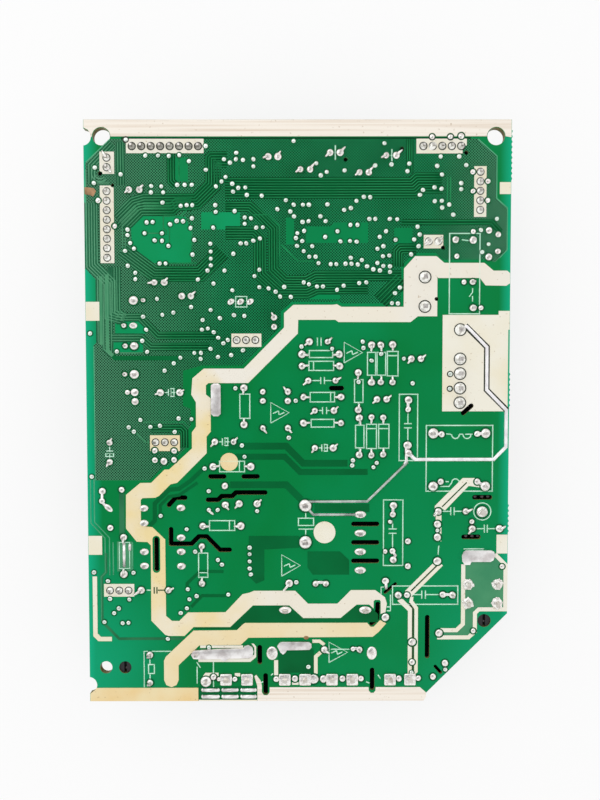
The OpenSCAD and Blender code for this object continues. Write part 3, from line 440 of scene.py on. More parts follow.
# ---- ground, pours and tracks ----
# Ground grid of the low-voltage side, cut away over the isolation band and the islands.
GROUND = [
    (-50.5, 74.1), (48.4, 74.1), (53.6, 69.5), (53.6, 58.3), (56.5, 55.7), (56.5, 44.5), (54.4, 42.2),
    (53.3, 41.2), (50.4, 41.9), (39.2, 41.9), (37.2, 43.7), (31.3, 43.7), (27.8, 40.0), (27.8, 30.1),
    (12.2, 30.1), (11, 30.8), (9.2, 30.6), (-1.6, 30.6), (-4.6, 28), (-4.6, 24), (-15, 13.4), (-26, 13.4),
    (-31.2, 12.0), (-31.3, 2.4), (-29.2, 1.6), (-29.2, -3), (-30.2, -4.6), (-30.2, -8.8), (-35.5, -14),
    (-36.8, -14.1), (-40.5, -17.9), (-55.4, -17.9), (-55.4, 18.8), (-54.2, 20), (-54.2, 36.2), (-57, 39.2),
    (-57, 67.8), (-56.5, 68.2),
]
BARE_ISLANDS = [
    [(-44.5, 41), (-28.8, 41), (-28.8, 49.5), (-30.2, 53.4), (-36, 53.4), (-36, 55.6), (-41, 55.6),
     (-45, 51)],
    box_of(-26, 50, -15.5, 54.6), box_of(-49.5, 22, -41.2, 26), box_of(-50, 17, -42, 20.8),
]
DEEP_ISLANDS = [
    box_of(-34.3, 62.8, -29.5, 69.2),
    [(2.2, 46.4), (9.5, 46.4), (19, 46.4), (19, 51.8), (10, 51.8), (8.6, 50.8), (2.2, 50.8)],
    box_of(26, 46, 31, 50.4), box_of(21, 26.2, 28.2, 29), box_of(-3.2, 46, -1.0, 53.2),
    box_of(3, 31.2, 11.5, 33.2),
]
# Holes for the headers' locating pegs: place and width. Those that the ground crosses are cut from it.
PEG_HOLES = [
    (-53.1, 64.9, 1.1), (-49.75, 61.8, 0.9), (12.9, 68.6, 1.2), (28, 71.45, 1.2), (45.3, 70.4, 1.1),
    (39.25, 45.1, 1.1), (37.5, 31.3, 1.2),
]
CUT_HOLES = [round_of(x, y, d / 2, 16) for x, y, d in PEG_HOLES[:-1]]
print_areas("ground_grid", [GROUND] + BARE_ISLANDS + DEEP_ISLANDS + CUT_HOLES, GRID_RISE, grid)
print_areas("bare_islands", BARE_ISLANDS, GRID_RISE / 2, island_mask)
print_areas("deep_islands", DEEP_ISLANDS, GRID_RISE / 2, deep_island_mask)
GROUND_EDGE = [
    [(48.5, 74), (53.6, 69.5), (53.6, 58.3), (56.5, 55.7), (56.5, 44.5), (54.6, 42.4)],
    [(-55.3, 18.5), (-55.3, -17.8)], [(-56.9, 67.9), (-50.4, 74.0)], [(-57.0, 66), (-57.0, 40)],
]
draw_lines("ground_edge", GROUND_EDGE, EDGE_W, INK_RISE, edge_mask)

# Copper of the mains side and the wide runs, under dark, olive or thin-looking mask.
DARK_POURS = [
    strip([(-19, -8.6), (-3.2, -8.6), (1.4, -13.3), (13.5, -13.3)], 1.8),
    strip([(-17, -11.5), (-3.6, -11.5), (0.6, -15.7), (19, -15.7)], 1.6),
    strip([(-18.5, -19.2), (-3.2, -19.2), (0.8, -23.2)], 1.8),
    [(-13.5, -33.3), (0.2, -33.3), (0.2, -36.5), (-9.3, -37), (-9.3, -45.5), (-11.5, -46.5), (-13.5, -44.5)],
    [(2.6, -37.6), (11.5, -37.6), (14, -40), (14, -44), (4, -44), (2.6, -42)],
    strip([(4.5, -25.6), (19.5, -25.6)], 2.2),
    strip([(-20.5, -43.1), (-27, -43.1), (-30.5, -46.4), (-30.5, -47.6)], 0.8),
    strip([(-20, -49.8), (-26.4, -49.8), (-29.4, -52.9)], 0.8),
    [(-5.5, -64.9), (4.3, -64.9), (4.3, -71.3), (-5.5, -71.3)],
    [(-12.3, -52.7), (-2.6, -52.7), (1.3, -56.2), (11.8, -56.2), (15.8, -52.7), (19.5, -52.7), (22, -55),
     (22, -57.2), (-14.6, -57.2), (-16.7, -59.1), (-28.4, -59.1), (-28.4, -58.7), (-18.7, -58.7)],
    [(-27.5, -75.2), (-11.2, -75.2), (-11.2, -79.2), (-27.5, -79.2)],
    strip([(-50.2, 16.0), (-49.6, 15.4), (-32, 15.4)], 1.2),
    strip([(-25, -14), (-29.5, -18.2), (-32.6, -20.3), (-35.2, -20.5), (-39.2, -24.3), (-39.2, -29),
           (-40.6, -30.4)], 1.1),
    strip([(-27.5, -18.6), (-32.5, -22), (-35.3, -22.4), (-37.7, -24.8), (-37.7, -27.2)], 0.8),
]
print_each("heavy_copper", DARK_POURS, POUR_RISE, dark_mask)
OLIVE = [
    [(45.9, -41), (48.2, -38.4), (53.9, -38.4), (56.4, -41), (56.4, -53.1), (49.2, -53.1), (48.0, -54.4),
     (48.0, -60.1), (46.9, -61), (39.3, -61), (39.3, -60.1), (44.0, -60.1), (45.9, -58.1)],
    strip([(-51.6, 38), (-51.6, 17.6), (-50.2, 16.0)], 1.0), strip([(-53.3, 37.5), (-53.3, 19)], 0.9),
    box_of(-49.6, -43, -45.4, -34.8),
]
print_each("olive_copper", OLIVE, POUR_RISE, pour_mask)
THIN_COPPER = [
    strip([(-48.2, -20), (-48.2, -33)], 1.4),
    strip([(-52.7, -38), (-52.7, -43.2), (-53.9, -44.5), (-53.9, -57), (-49.3, -61.75), (-31.8, -61.75)], 0.7),
]
print_each("thin_copper", THIN_COPPER, POUR_RISE, thin_mask)
EDGE_RUNS = [
    [(-56.7, -17.4), (-56.7, -29.7), (-52.9, -33.8), (-52.9, -43.4), (-54.1, -44.6), (-54.1, -56.8)],
    [(-55.7, -17.4), (-55.7, -29.4), (-51.7, -33.7), (-51.7, -44.2)], [(-50.7, -35), (-50.7, -44)],
    [(-45.4, -35), (-45.4, -42.6)],
]
draw_lines("edge_runs", EDGE_RUNS, RUN_W, RUN_RISE, edge_mask)
draw_lines("band_margin", [[(-47.4, 74.3), (46.5, 74.3)]], MARGIN_W, MARGIN_RISE, margin_mask)

# Signal tracks: bundles on beds of their own, and single runs laid straight over the ground.
TRACKS = (
    bundle(5, 0.7, [(-54.1, 57.2), (-54.1, 41), (-49.4, 36.3), (-49.4, 28.2), (-46.5, 27.4)])
    + bundle(6, 0.72,
             [(-49.6, 53.8), (-45.0, 58.3), (-41.6, 59.3), (-28, 59.3), (-24.6, 62.6), (-24.6, 69.4),
              (-23.6, 70.4), (-19, 70.4)])
    + bundle(5, 0.72, [(-48.6, 51.4), (-43, 56.9), (-34.4, 56.9), (-33, 58.2), (-28.6, 58.2)])
    + bundle(6, 0.72, [(-46.4, 46), (-38.2, 39.9), (-27.2, 39.9), (-21.6, 45.4)])
    + [[(-47.3, 44), (-47.3, 51), (-45.2, 53)], [(-46.5, 44), (-46.5, 50.6)], [(-45.2, 44.8), (-45.2, 50)]]
    + bundle(3, 0.7, [(-33.4, 61.2), (-34.8, 62.6), (-34.8, 70)])
    + bundle(3, 0.7, [(-48.3, 62), (-48.3, 73.4)])
    + bundle(3, 0.75, [(-56.1, 62.4), (-56.1, 67.4), (-50.2, 73.4)]) + [[(-54.6, 62.4), (-50.6, 62.4)]]
    + bundle(8, 0.7, [(-19.5, 63.5), (30.2, 63.5), (31.6, 64.8), (38.8, 64.8)])
    + bundle(4, 0.7,
             [(-19.5, 57.2), (-12.6, 57.2), (-9.6, 54.6), (-5.6, 50.6), (-5.6, 39.8), (-3, 37.3), (2, 37.3),
              (4.5, 38.6), (28, 38.6)])
    + bundle(5, 0.7,
             [(-19.5, 50.4), (-11.4, 50.4), (-8.8, 47.8), (-8.8, 38.5), (-4.6, 34.6), (2.2, 34.6),
              (4.8, 35.8), (19, 35.8)])
    + [[(-4.5, 46), (0, 41.5), (4, 41.5)]]
    + bundle(2, 0.8, [(28, 52.3), (52.5, 52.3), (55, 49.6)])
    + bundle(4, 0.7, [(26, 40), (26, 44.4), (27.3, 45.8), (32, 45.8)])
    + bundle(3, 0.6, [(29.5, 65), (29.5, 74)])
    + bundle(5, 0.9, [(21, 32), (27, 38)])
    + bundle(3, 0.72, [(-49.4, 27.2), (-42.4, 27.2), (-37.6, 22.2), (-22.4, 22.2)])
    + bundle(3, 0.72, [(-50.4, 21.6), (-42.2, 21.6), (-39.6, 19.2), (-24, 19.2)])
    + [[(-49, 16.8), (-42, 16.8)]]
    + bundle(1, 0, [(-52.6, 38), (-52.6, 17.8), (-50.6, 15.8)]) + bundle(1, 0, [(-54.1, 37.6), (-54.1, 19.6)])
    + bundle(1, 0, [(-50.5, 37), (-50.5, 17)])
    + [[(-36.2, 53.6), (-36.2, 50.3), (-35.4, 49.6), (-35.4, 48.6)], [(-34.6, 51.2), (-34.6, 46)],
       [(-41, 49), (-37, 49)], [(-28.6, 53), (-28.6, 43.5)], [(-36.2, 53.6), (-31.5, 53.6), (-29.8, 55.3)],
       [(-31.9, 69.6), (-31.9, 63), (-32.4, 62)], [(-36.5, 41), (-27.2, 41)]]
    + bundle(5, 0.7, [(-48.2, 40), (-48.2, 28.4), (-46.5, 26.8)])[:3]
    + [[(-12, 53.9), (-8, 53.9), (-5, 51), (-5, 40)], [(40.3, 64), (40.3, 57)], [(41.1, 64), (41.1, 57)]]
    + bundle(3, 0.72, [(-40, -3), (-31.6, -3), (-30.4, -4.2), (-30.4, -9)])
    + [[(-45, -4), (-41.5, -7.5), (-40.3, -7.5)], [(-42.6, -2), (-31, -2), (-29.9, -3.2)]]
    + [part_ring(-53.1, 65, r) for r in (1.5, 2.3)]
)

draw_lines("track_beds", BEDS, BED_W, BED_RISE, bed_mask)
draw_lines("signal_tracks", TRACKS, TRACK_W, TRACK_RISE, track_mask)


# ---- cream ink: edge strips, header blocks, isolation bands ----
def arch_over(x, y, r):
    """Corners of the ink over a hole, from its right to its left."""
    return [(x + r * math.cos(a), y + r * math.sin(a)) for a in [math.pi * k / 12 for k in range(13)]]


TOP_STRIP = (
    [(57.4, 74.5), (57.4, 79.2), (-57.4, 79.2), (-57.4, 77.1), (-56.2, 76.5), (-55.5, 75.2), (-55.4, 74.5)]
    + arch_over(-52.7, 74.75, 2.5)[::-1] + arch_over(53.3, 74.75, 2.5)[::-1]
)
BOTTOM_STRIP = [
    (-55.7, -75.5), (-27.6, -75.5), (-27.6, -79.2), (-57.4, -79.2), (-57.4, -77.1), (-56.2, -76.2),
]
BOTTOM_TAIL = [
    (-11.3, -79.2), (-11.3, -75), (-12.1, -72.3), (-11.6, -71.9), (-10.4, -73.5), (-10.05, -75),
    (-10.05, -76.8), (-9.5, -77.6), (-8.5, -77.6), (-7.9, -76.8), (-7.9, -75.4), (19.4, -75.4), (19.5, -76.4),
    (20.0, -77), (20.8, -77), (21.3, -76.4), (21.4, -75.4), (33.6, -75.4), (35.2, -76.8), (35.4, -77.9),
    (34.6, -79.2),
]
print_areas("edge_ink", [TOP_STRIP[::-1], BOTTOM_TAIL[::-1]], INK_RISE, strip_ink)
# Painted shade: thin grey lines along the top and bottom edges of the board.
EDGE_SHADE_LINES = [
    (-51.5, 79.12, -37.8), (-36.8, 78.9, -34.4), (-27, 78.85, -24.2), (-20.5, 79.12, -1), (2.5, 79.12, 11),
    (18, 79.12, 20.6), (25.4, 78.9, 27.8), (35.5, 78.9, 38), (44.2, 79.12, 57), (-3, -79.12, 28),
]
draw_lines("painted_edge_shade", [[(x0, y), (x1, y)] for x0, y, x1 in EDGE_SHADE_LINES], EDGE_SHADE_W, EDGE_SHADE_RISE, edge_shade_grey)

# Blocks under the headers, cut out round their locating holes, and small patches.
BLOCKS = [
    box_of(-46.06, 70.3, -25.24, 74.1),
    [(-53.2, 70.7), (-53.2, 65.6), (-52.5, 65.3), (-52.4, 64.8), (-49.3, 64.8), (-49.3, 70.7)],
    [(-53.2, 41.0), (-49.5, 41.0), (-49.5, 61.2), (-50.1, 61.3), (-50.3, 61.7), (-53.2, 61.7)],
    [(31.9, 70.2), (44.3, 70.2), (44.3, 72.3), (45.4, 72.3), (45.4, 74.1), (31.9, 74.1)],
    box_of(47.5, 53.3, 50.8, 66.8),
    [(34, 44.9), (38.6, 44.9), (38.7, 45.4), (39.25, 45.7), (39.25, 48.5), (34, 48.5)],
    box_of(-18, 18.4, -9.9, 22), box_of(-53.3, -50, -45, -46.5),
    [(39.25, 0.85), (44.55, 0.87), (46.76, 2.88), (47.25, 3.05), (47.68, 2.8), (47.85, 2.35), (47.64, 1.92),
     (46.45, 0.85), (57.05, 0.85), (57.05, 23), (57.4, 23), (57.4, 28.06), (54.4, 28.06), (54.4, 27),
     (39.25, 27)],
    box_of(-57.4, 25.5, -53.7, 30.6), box_of(-57.4, -38.4, -53.7, -33.2), box_of(54.4, 59.4, 57.4, 62.55),
    box_of(54.4, -38.2, 57.4, -33),
    [(-56.4, -44.4), (-55.2, -44.4), (-55.2, -60.3), (-54.3, -61.2), (-51.3, -61.2), (-51.3, -62.4),
     (-55, -62.4), (-56.4, -61)],
    round_of(7.24, -32.3, 3.0), box_of(-17.5, -72.3, -16, -71.4), box_of(-1.7, -74.7, 0.1, -74),
    [(-26.6, -72.6), (-25.6, -71.3), (-22, -71.3), (-22, -72.2), (-26, -72.6)],
]
print_areas("header_ink", BLOCKS, INK_RISE, cream_ink)
# The band between mains and low voltage: its upper side from right to left, then its lower side back.
BAND = [
    (57.4, 38.2), (56.6, 38.9), (52.9, 38.9), (50.4, 41.0), (39.6, 41.0), (37.5, 42.8), (31.7, 42.8),
    (28.7, 39.5), (28.66, 29.2), (11.8, 29.2), (10.6, 29.9), (9.5, 29.75), (-1.2, 29.75), (-3.74, 27.5),
    (-3.74, 23.65), (-14.7, 12.53), (-25.55, 12.53), (-28.66, 9.9), (-29, 5.5), (-27.75, 3.4),
    (-27.75, -3.25), (-28.9, -4.8), (-28.9, -9.2), (-35.15, -14.93), (-36.45, -15), (-40.1, -18.6),
    (-43.1, -18.65), (-47, -21.9), (-47.1, -31.15), (-44.2, -34.8), (-41.25, -34.9), (-40.35, -35.8),
    (-40.38, -56.7), (-36.6, -60.65), (-35.7, -60.97), (-31.3, -60.97), (-28.8, -58.5), (-18.7, -58.5),
    (-12.45, -52.5), (-2.45, -52.5), (1.4, -56.03), (11.65, -56.03), (16.1, -52.3), (19.5, -52.3),
    (20.1, -52.8), (20.75, -53.4), (20.75, -51.4), (21.1, -51.0), (22.4, -51.0), (22.7, -51.4), (22.7, -54.9),
    (24, -54.5), (24.4, -52), (23.85, -50.3), (21.2, -48.3), (14.5, -48.3), (10.8, -52.05), (2.7, -52.05),
    (-0.8, -48.46), (-12.1, -48.46), (-13.5, -49), (-15.3, -49.4), (-20, -54.4), (-30.3, -54.45),
    (-32.7, -56.8), (-34.7, -56.8), (-36.33, -55.4), (-36.4, -34.2), (-39.9, -30.8), (-43, -30.5),
    (-43, -23.3), (-42.5, -22.8), (-39, -22.7), (-38, -22.2), (-34.8, -19), (-33, -18.6), (-24.9, -10.5),
    (-24.9, -6), (-23.75, -4.6), (-23.75, 4.5), (-25, 5.5), (-25.0, 8), (-24.3, 8.6), (-13.5, 8.6), (0, 22),
    (0.1, 25.7), (10.2, 25.7), (11, 25.1), (30.55, 25.07), (32.5, 26.63), (37.74, 26.63), (37.74, 30.75),
    (37.2, 30.85), (36.95, 31.3), (37.2, 31.75), (37.74, 31.85), (37.74, 37.2), (38, 36.94), (49.24, 36.94),
    (50.8, 34.94), (56.4, 34.84), (57.4, 35.5),
]
# The second band, round the output relay and along the tab terminals.
LOWER_BAND = [
    (-28.8, -59.5), (-16.9, -59.4), (-15.1, -57.7), (-14.6, -57.4), (19.0, -57.4), (19.9, -58.5),
    (20.8, -58.5), (22.5, -56.7), (23.3, -56.9), (24.2, -57.6), (22.2, -59.9), (20.5, -61.3), (19.5, -61.3),
    (-13.7, -61.5), (-15.8, -63.5), (-27.2, -63.6), (-33, -69.2), (-33, -73.3), (-33.6, -74.7), (-35, -75.3),
    (-36.4, -74.7), (-37, -73.3), (-37, -67.9), (-36.5, -66.8),
]
BAND_BLOCK = [(-40.3, -9.9), (-32.2, -9.9), (-32.2, -5.6), (-40.3, -5.6)]
TAN_DISC = round_of(-18.8, -12.9, 2.45)
# Borders of ink along slots and heavy copper.
BORDERS = [
    strip([(-27, -64.0), (-15.2, -64.0)], 0.7),
    [(-12.9, -63.1), (-12.2, -63.2), (-11.6, -64), (-11.6, -66.9), (-13.2, -68.25), (-27.5, -68.25),
     (-27.5, -67.3), (-13.6, -67.3), (-12.1, -66.2), (-12.1, -64.3)],
    [(45.0, -17.4), (48.5, -17.4), (48.6, -19.0), (49.9, -19.3), (49.9, -20), (47.1, -19.6), (46.6, -19.6),
     (40.2, -26.3), (39.2, -25.7), (38.9, -26.3), (37.4, -26.3), (37.4, -25.1)],
    box_of(37.7, -34.8, 39.25, -27.3), strip([(38.9, -40.7), (30.2, -49.4)], 2.35),
    [(27.3, -51.3), (27.9, -50.6), (28.9, -50.9), (31.3, -53.4), (31.3, -71.2), (32.0, -71.2), (32.0, -53.6),
     (30.5, -52), (30.8, -50.2), (31.7, -50.2), (31.6, -51.3), (32.95, -53.1), (32.95, -71.2), (31.9, -72),
     (30.2, -75), (30.2, -54.1)],
    box_of(-27.5, -79.2, -11.4, -78.85),
    strip([(45.35, -41.2), (45.35, -57.8), (43.6, -59.5), (39.2, -59.5)], 1.1),
    strip([(38.3, -61.5), (46.9, -61.5), (48.65, -59.9), (48.65, -54.7), (49.7, -53.7), (56.95, -53.7),
           (56.95, -41.4), (54, -38.4)], 1.1),
    strip([(-6.1, -67.8), (-6.1, -72)], 1.1), strip([(6.2, -65.6), (4.85, -66.8), (4.85, -71.6)], 1.0),
    strip([(3.9, -62.5), (5.9, -62.5), (7.2, -63.5)], 0.9),
]
print_areas("isolation_band", [BAND, capsule(-38.85, -34.2, -38.85, -42.4, 2.1)], INK_RISE, band_ink)
print_areas("lower_band", [LOWER_BAND, BAND_BLOCK], INK_RISE, lower_ink)
print_areas("tanned_ink", [TAN_DISC, BOTTOM_STRIP[::-1]], INK_RISE, tan_ink)
print_areas("border_ink", BORDERS, INK_RISE, cream_ink)
# Thin gaps where the mask shows through the ink.
GAPS = [
    strip([(46.1, -18.6), (39.4, -25.3)], 0.35), strip([(38.3, -41.3), (31.0, -48.6)], 0.4),
    strip([(30.5, -51.9), (31.6, -53.4), (31.6, -70.6)], 0.45), box_of(-39.7, -49.2, -39.35, -47.35),
    box_of(-38.95, -49.2, -38.6, -47.35), box_of(-38.5, -48.4, -36.4, -48.05),
]
print_each("gaps_in_ink", GAPS, RING_RISE, gap_mask)


# ---- drawn outlines of the parts ----
def frame_lines(x0, y0, x1, y1):
    """Four sides of a drawn box, each a line of its own so that the corners stay square."""
    h = LINE_W / 2
    level = [[(x0 - h, y), (x1 + h, y)] for y in (y0, y1)]
    return level + [[(x, y0), (x, y1)] for x in (x0, x1)]


def axial_mark(x0, y0, x1, y1, box, bar=None):
    """Two leads and a box, with the bar of a diode across it at the given distance along the row."""
    if y0 == y1:
        leads, across = [[(x0, y0), (box[0], y0)], [(box[2], y0), (x1, y1)]], [(bar, box[1]), (bar, box[3])]
    else:
        leads, across = [[(x0, y0), (x0, box[3])], [(x0, box[1]), (x1, y1)]], [(box[0], bar), (box[2], bar)]
    return frame_lines(*box) + leads + ([] if bar is None else [across])


def capacitor_mark(x0, y0, x1, y1, plates, height):
    """Two leads, and two plates across them at the given distances along the row."""
    if abs(y1 - y0) < 1:
        y = (y0 + y1) / 2
        return [[(x0, y), (plates[0], y)], [(plates[1], y), (x1, y)]] + [
            [(p, y - height / 2), (p, y + height / 2)] for p in plates]
    x = (x0 + x1) / 2
    return [[(x, y0), (x, plates[0])], [(x, plates[1]), (x, y1)]] + [
        [(x - height / 2, p), (x + height / 2, p)] for p in plates]


def winding_mark(x, y, w, lift):
    """A half round, the sign of a winding: its left end, width and height."""
    turns = [k * math.pi / 6 for k in range(7)]
    return [[(x + w / 2 - w / 2 * math.cos(a), y + lift * math.sin(a)) for a in turns]]


def warning_mark(x, y, w, h):
    """A plain triangle that points to +X with a zigzag in it."""
    return [[(x, y - h / 2), (x, y + h / 2), (x + w, y), (x, y - h / 2)],
            [(x + 0.6, y - 0.2), (x + 2.1, y + 0.5)], [(x + 2.1, y + 0.5), (x + 2.3, y - 0.55)],
            [(x + 2.3, y - 0.55), (x + 3.7, y + 0.1)]]


# Axial parts, capacitors, cases, single lines, warning signs, windings and the wire post.
MARKS = (
    axial_mark(1.1, 16.4, 11.2, 16.4, (3.1, 15.5, 9.45, 17.4))
    + axial_mark(1.1, 13.2, 11.3, 13.2, (3, 12, 9.7, 14.5), 4.25)
    + axial_mark(1.5, 4.75, 11.7, 4.75, (3.35, 3.45, 9.97, 6.04), 8.9)
    + axial_mark(1.5, -2.34, 11.7, -2.34, (3.6, -3.4, 9.83, -1.3))
    + axial_mark(-26.1, -30.5, -15.7, -30.5, (-24.25, -31.75, -17.35, -29.05), -18.8)
    + axial_mark(-23.2, -14.1, -12.9, -14.1, (-21.4, -15.6, -14.6, -12.7), -16)
    + axial_mark(-14.7, 7.3, -14.7, -2.7, (-15.8, -1.0, -13.1, 5.6))
    + axial_mark(16.45, 11.4, 16.45, 1.3, (15.4, 3.3, 17.7, 9.5))
    + axial_mark(20, 18.9, 20, 8.85, (18.9, 10.7, 21.1, 16.9))
    + axial_mark(22.5, 18.9, 22.5, 8.8, (21.5, 10.7, 23.85, 16.9))
    + axial_mark(25.7, 19, 25.7, 8.8, (24.3, 10.5, 27.2, 17.15), 16)
    + axial_mark(16.7, -0.9, 16.7, -11, (15.7, -9.1, 18, -2.9))
    + axial_mark(20, -0.7, 20, -11.1, (18.7, -9.3, 21.4, -2.65), -3.84)
    + axial_mark(23.25, -0.8, 23.25, -10.9, (22, -9.2, 24.8, -2.65), -3.84)
    + axial_mark(-26.4, -36.1, -26.4, -46.4, (-27.3, -44.7, -24.8, -38), -43.4)
    + axial_mark(-47.8, -33.6, -47.8, -43.8, (-49, -42.2, -46.2, -35))
    + axial_mark(-40.9, -66.3, -40.9, -74.05, (-41.3, -71.5, -39.7, -69))
    + capacitor_mark(5.2, 19.8, 6.4, 19.8, (5.3, 6.3), 2.2)
    + capacitor_mark(2.8, 9.25, 10.2, 9.25, (6.2, 7.2), 1.9)
    + capacitor_mark(4.6, 1.1, 9.8, 1.1, (6.7, 7.8), 1.9)
    + capacitor_mark(38.6, -26.55, 45.7, -26.55, (41.8, 42.75), 2.2)
    + capacitor_mark(47.9, -31.35, 55, -31.35, (51.05, 51.85), 2.2)
    + [[(-41.6, -48.25), (-40.4, -48.25)]]
    + capacitor_mark(29.96, 0.5, 29.96, -7.6, (-2.5, -3.65), 2.1)
    + capacitor_mark(25.9, -29, 25.9, -37, (-31.4, -32.6), 2.2)
    + capacitor_mark(30.5, -49.6, 38.8, -49.6, (34, 35), 2.3)
    + capacitor_mark(8.9, 70.45, 10.4, 70.45, (10.1, 10.15), 3.9)
    + capacitor_mark(24.2, 69.7, 26.2, 69.7, (25.3, 25.35), 3.3)
    + capacitor_mark(4.6, -9.1, 9.6, -9.1, (6.5, 7.2), 1.9) + frame_lines(7.2, -10, 8, -8.2)
    + capacitor_mark(-22.7, -7.4, -17.6, -7.4, (-20.6, -19.9), 1.9) + frame_lines(-19.9, -8.4, -19.1, -6.4)
    + capacitor_mark(-37.4, 6.05, -32.1, 6.05, (-35.2, -34.5), 1.9) + frame_lines(-34.5, 5, -33.7, 7.1)
    + capacitor_mark(-51.35, -7.6, -51.35, -12.9, (-9.9, -10.6), 1.9)
    + frame_lines(-52.4, -11.4, -50.3, -10.6)
    + frame_lines(41, 27.3, 49.2, 48.9) + frame_lines(35, -21, 53.1, -3) + frame_lines(27.6, -12.6, 32.6, 5.5)
    + frame_lines(23.4, -41.5, 28.7, -23.4) + frame_lines(25.95, -52.3, 43.9, -47.2)
    + frame_lines(0.1, -30.4, 4.25, -28.4)
    + [[(0.1, -31.4), (4.25, -31.4)], [(2.1, -26.8), (2.1, -28.4)], [(2.1, -31.4), (2.1, -33)]]
    + frame_lines(-16.8, 29.2, -13.8, 32)
    + [[(-42.5, -75.4), (-42.5, -65.3), (-35, -65.3)], [(-23.4, -68.2), (-23.4, -75.3)],
       [(-27.9, -69.6), (-27.9, -74.3)], [(-28, -68.3), (-27, -69.9)]]
    + [[(44.3, 47.2), (46.6, 46.9)], [(47.3, 34.2), (47.3, 33.1), (46.4, 31.9)], [(47.3, 32.1), (47.3, 30.6)]]
    + [[(38.6, -36), (38.4, -38.5)], [(45.4, -36.95), (51, -36.95)]]
    + [[(23.5, -47.5), (22.8, -47.5), (22.8, -49.8)], [(25.4, -49.6), (25.4, -54.1)],
       [(25.4, -54.1), (24.4, -54.1)], [(24.4, -53), (25.4, -53)]]
    + [[(-7.5, -72), (-6.9, -71.6)], [(-10.3, -74.2), (-9.7, -73.8)], [(18.7, -73.9), (19.7, -74.3)],
       [(22, -72), (22.7, -73)]]
    + warning_mark(12.56, 16.85, 4.95, 5.6) + warning_mark(-7.4, 0.5, 5, 5.6)
    + warning_mark(-4.5, -41.45, 5.1, 5.9)
    + warning_mark(8.5, -65.65, 5.1, 5.7) + [[(9, -64.8), (14.5, -64.8)]]
    + winding_mark(41.9, -5.5, 2.1, -1.1) + winding_mark(45, -5.5, 2.2, -1.1)
    + winding_mark(42, -18.7, 2.1, 1.1)
    + [[(40.3, -5.3), (41.5, -5.4), (41.9, -5.6)], [(44, -5.4), (45, -5.4)], [(45.6, -5.4), (47.6, -5.4)],
       [(40.3, -18.4), (41.2, -18.4)], [(38.9, -19.7), (41.3, -19.7), (42, -18.7)]]
    + [round_of(50.45, -26.6, 2.35, 24) + [(52.8, -26.6)]]
)
draw_lines("part_outlines", MARKS, LINE_W, LINE_RISE, line_ink)


# ---- solder ----
rng = random.Random(7)


def shape_dome(name, steps, sides, material):
    """A round drop of solder: a disc drawn up ring by ring, steps as (height, radius)."""
    bpy.ops.object.select_all(action="DESELECT")
    bpy.ops.mesh.primitive_circle_add(vertices=sides, radius=steps[0][1] * MM, fill_type="NGON",
                                      location=(0, 0, steps[0][0] * MM))
    obj = bpy.context.object
    bpy.ops.object.mode_set(mode="EDIT")
    bpy.ops.mesh.select_all(action="SELECT")
    for (low, wide), (high, narrow) in zip(steps, steps[1:]):
        bpy.ops.mesh.extrude_region_move(TRANSFORM_OT_translate={"value": (0, 0, (high - low) * MM)})
        bpy.ops.transform.resize(value=(narrow / wide, narrow / wide, 1))
    bpy.ops.mesh.select_all(action="SELECT")
    bpy.ops.mesh.normals_make_consistent(inside=False)
    bpy.ops.object.mode_set(mode="OBJECT")
    bpy.ops.object.transform_apply(location=True)
    bpy.ops.object.shade_smooth()
    obj.name = name
    obj.data.materials.append(material)
    return obj


def put_copies(template, name, places):
    """Copies of a template, each with its own mesh, joined: x, y, width, length, height, turn."""
    made = []
    for x, y, w, l, h, turn in places:
        c = template.copy()
        c.data = template.data.copy()
        c.data.transform(Matrix.Translation((x * MM, y * MM, SOLDER_FACE * MM)) @ Matrix.Rotation(turn, 4, "Z")
                         @ Matrix.Diagonal((w, l, h, 1)))
        bpy.context.scene.collection.objects.link(c)
        made.append(c)
    joined = merge_pieces(made)
    joined.name = name
    return joined


def solder_islands(node):
    """Middle and width of each separate drop in a soldered CAD node, read from a copy of it."""
    copy = frame["nodes"][node].copy()
    copy.data = frame["nodes"][node].data.copy()
    copy.parent = None
    bpy.context.scene.collection.objects.link(copy)
    bpy.ops.object.select_all(action="DESELECT")
    copy.select_set(True)
    bpy.context.view_layer.objects.active = copy
    bpy.ops.object.mode_set(mode="EDIT")
    bpy.ops.mesh.select_all(action="SELECT")
    bpy.ops.mesh.remove_doubles(threshold=1e-6)
    bpy.ops.mesh.separate(type="LOOSE")
    bpy.ops.object.mode_set(mode="OBJECT")
    drops = []
    for part in list(bpy.context.selected_objects):
        xs = [v.co.x / MM for v in part.data.vertices if v.co.z > (SOLDER_FACE - 0.01) * MM]
        ys = [v.co.y / MM for v in part.data.vertices if v.co.z > (SOLDER_FACE - 0.01) * MM]
        drops.append(((min(xs) + max(xs)) / 2, (min(ys) + max(ys)) / 2, max(xs) - min(xs)))
        bpy.data.objects.remove(part)
    return drops


def near(p, q, reach=0.5):
    """Whether two places lie within reach of each other."""
    return math.hypot(p[0] - q[0], p[1] - q[1]) < reach


joints = solder_islands("solder_joints")
pads = solder_islands("solder_pads")


def pin_row(x, y, count, dx, dy):
    """Places of a row of pins, from its first pin and the step between them."""
    return [(x + i * dx, y + i * dy) for i in range(count)]


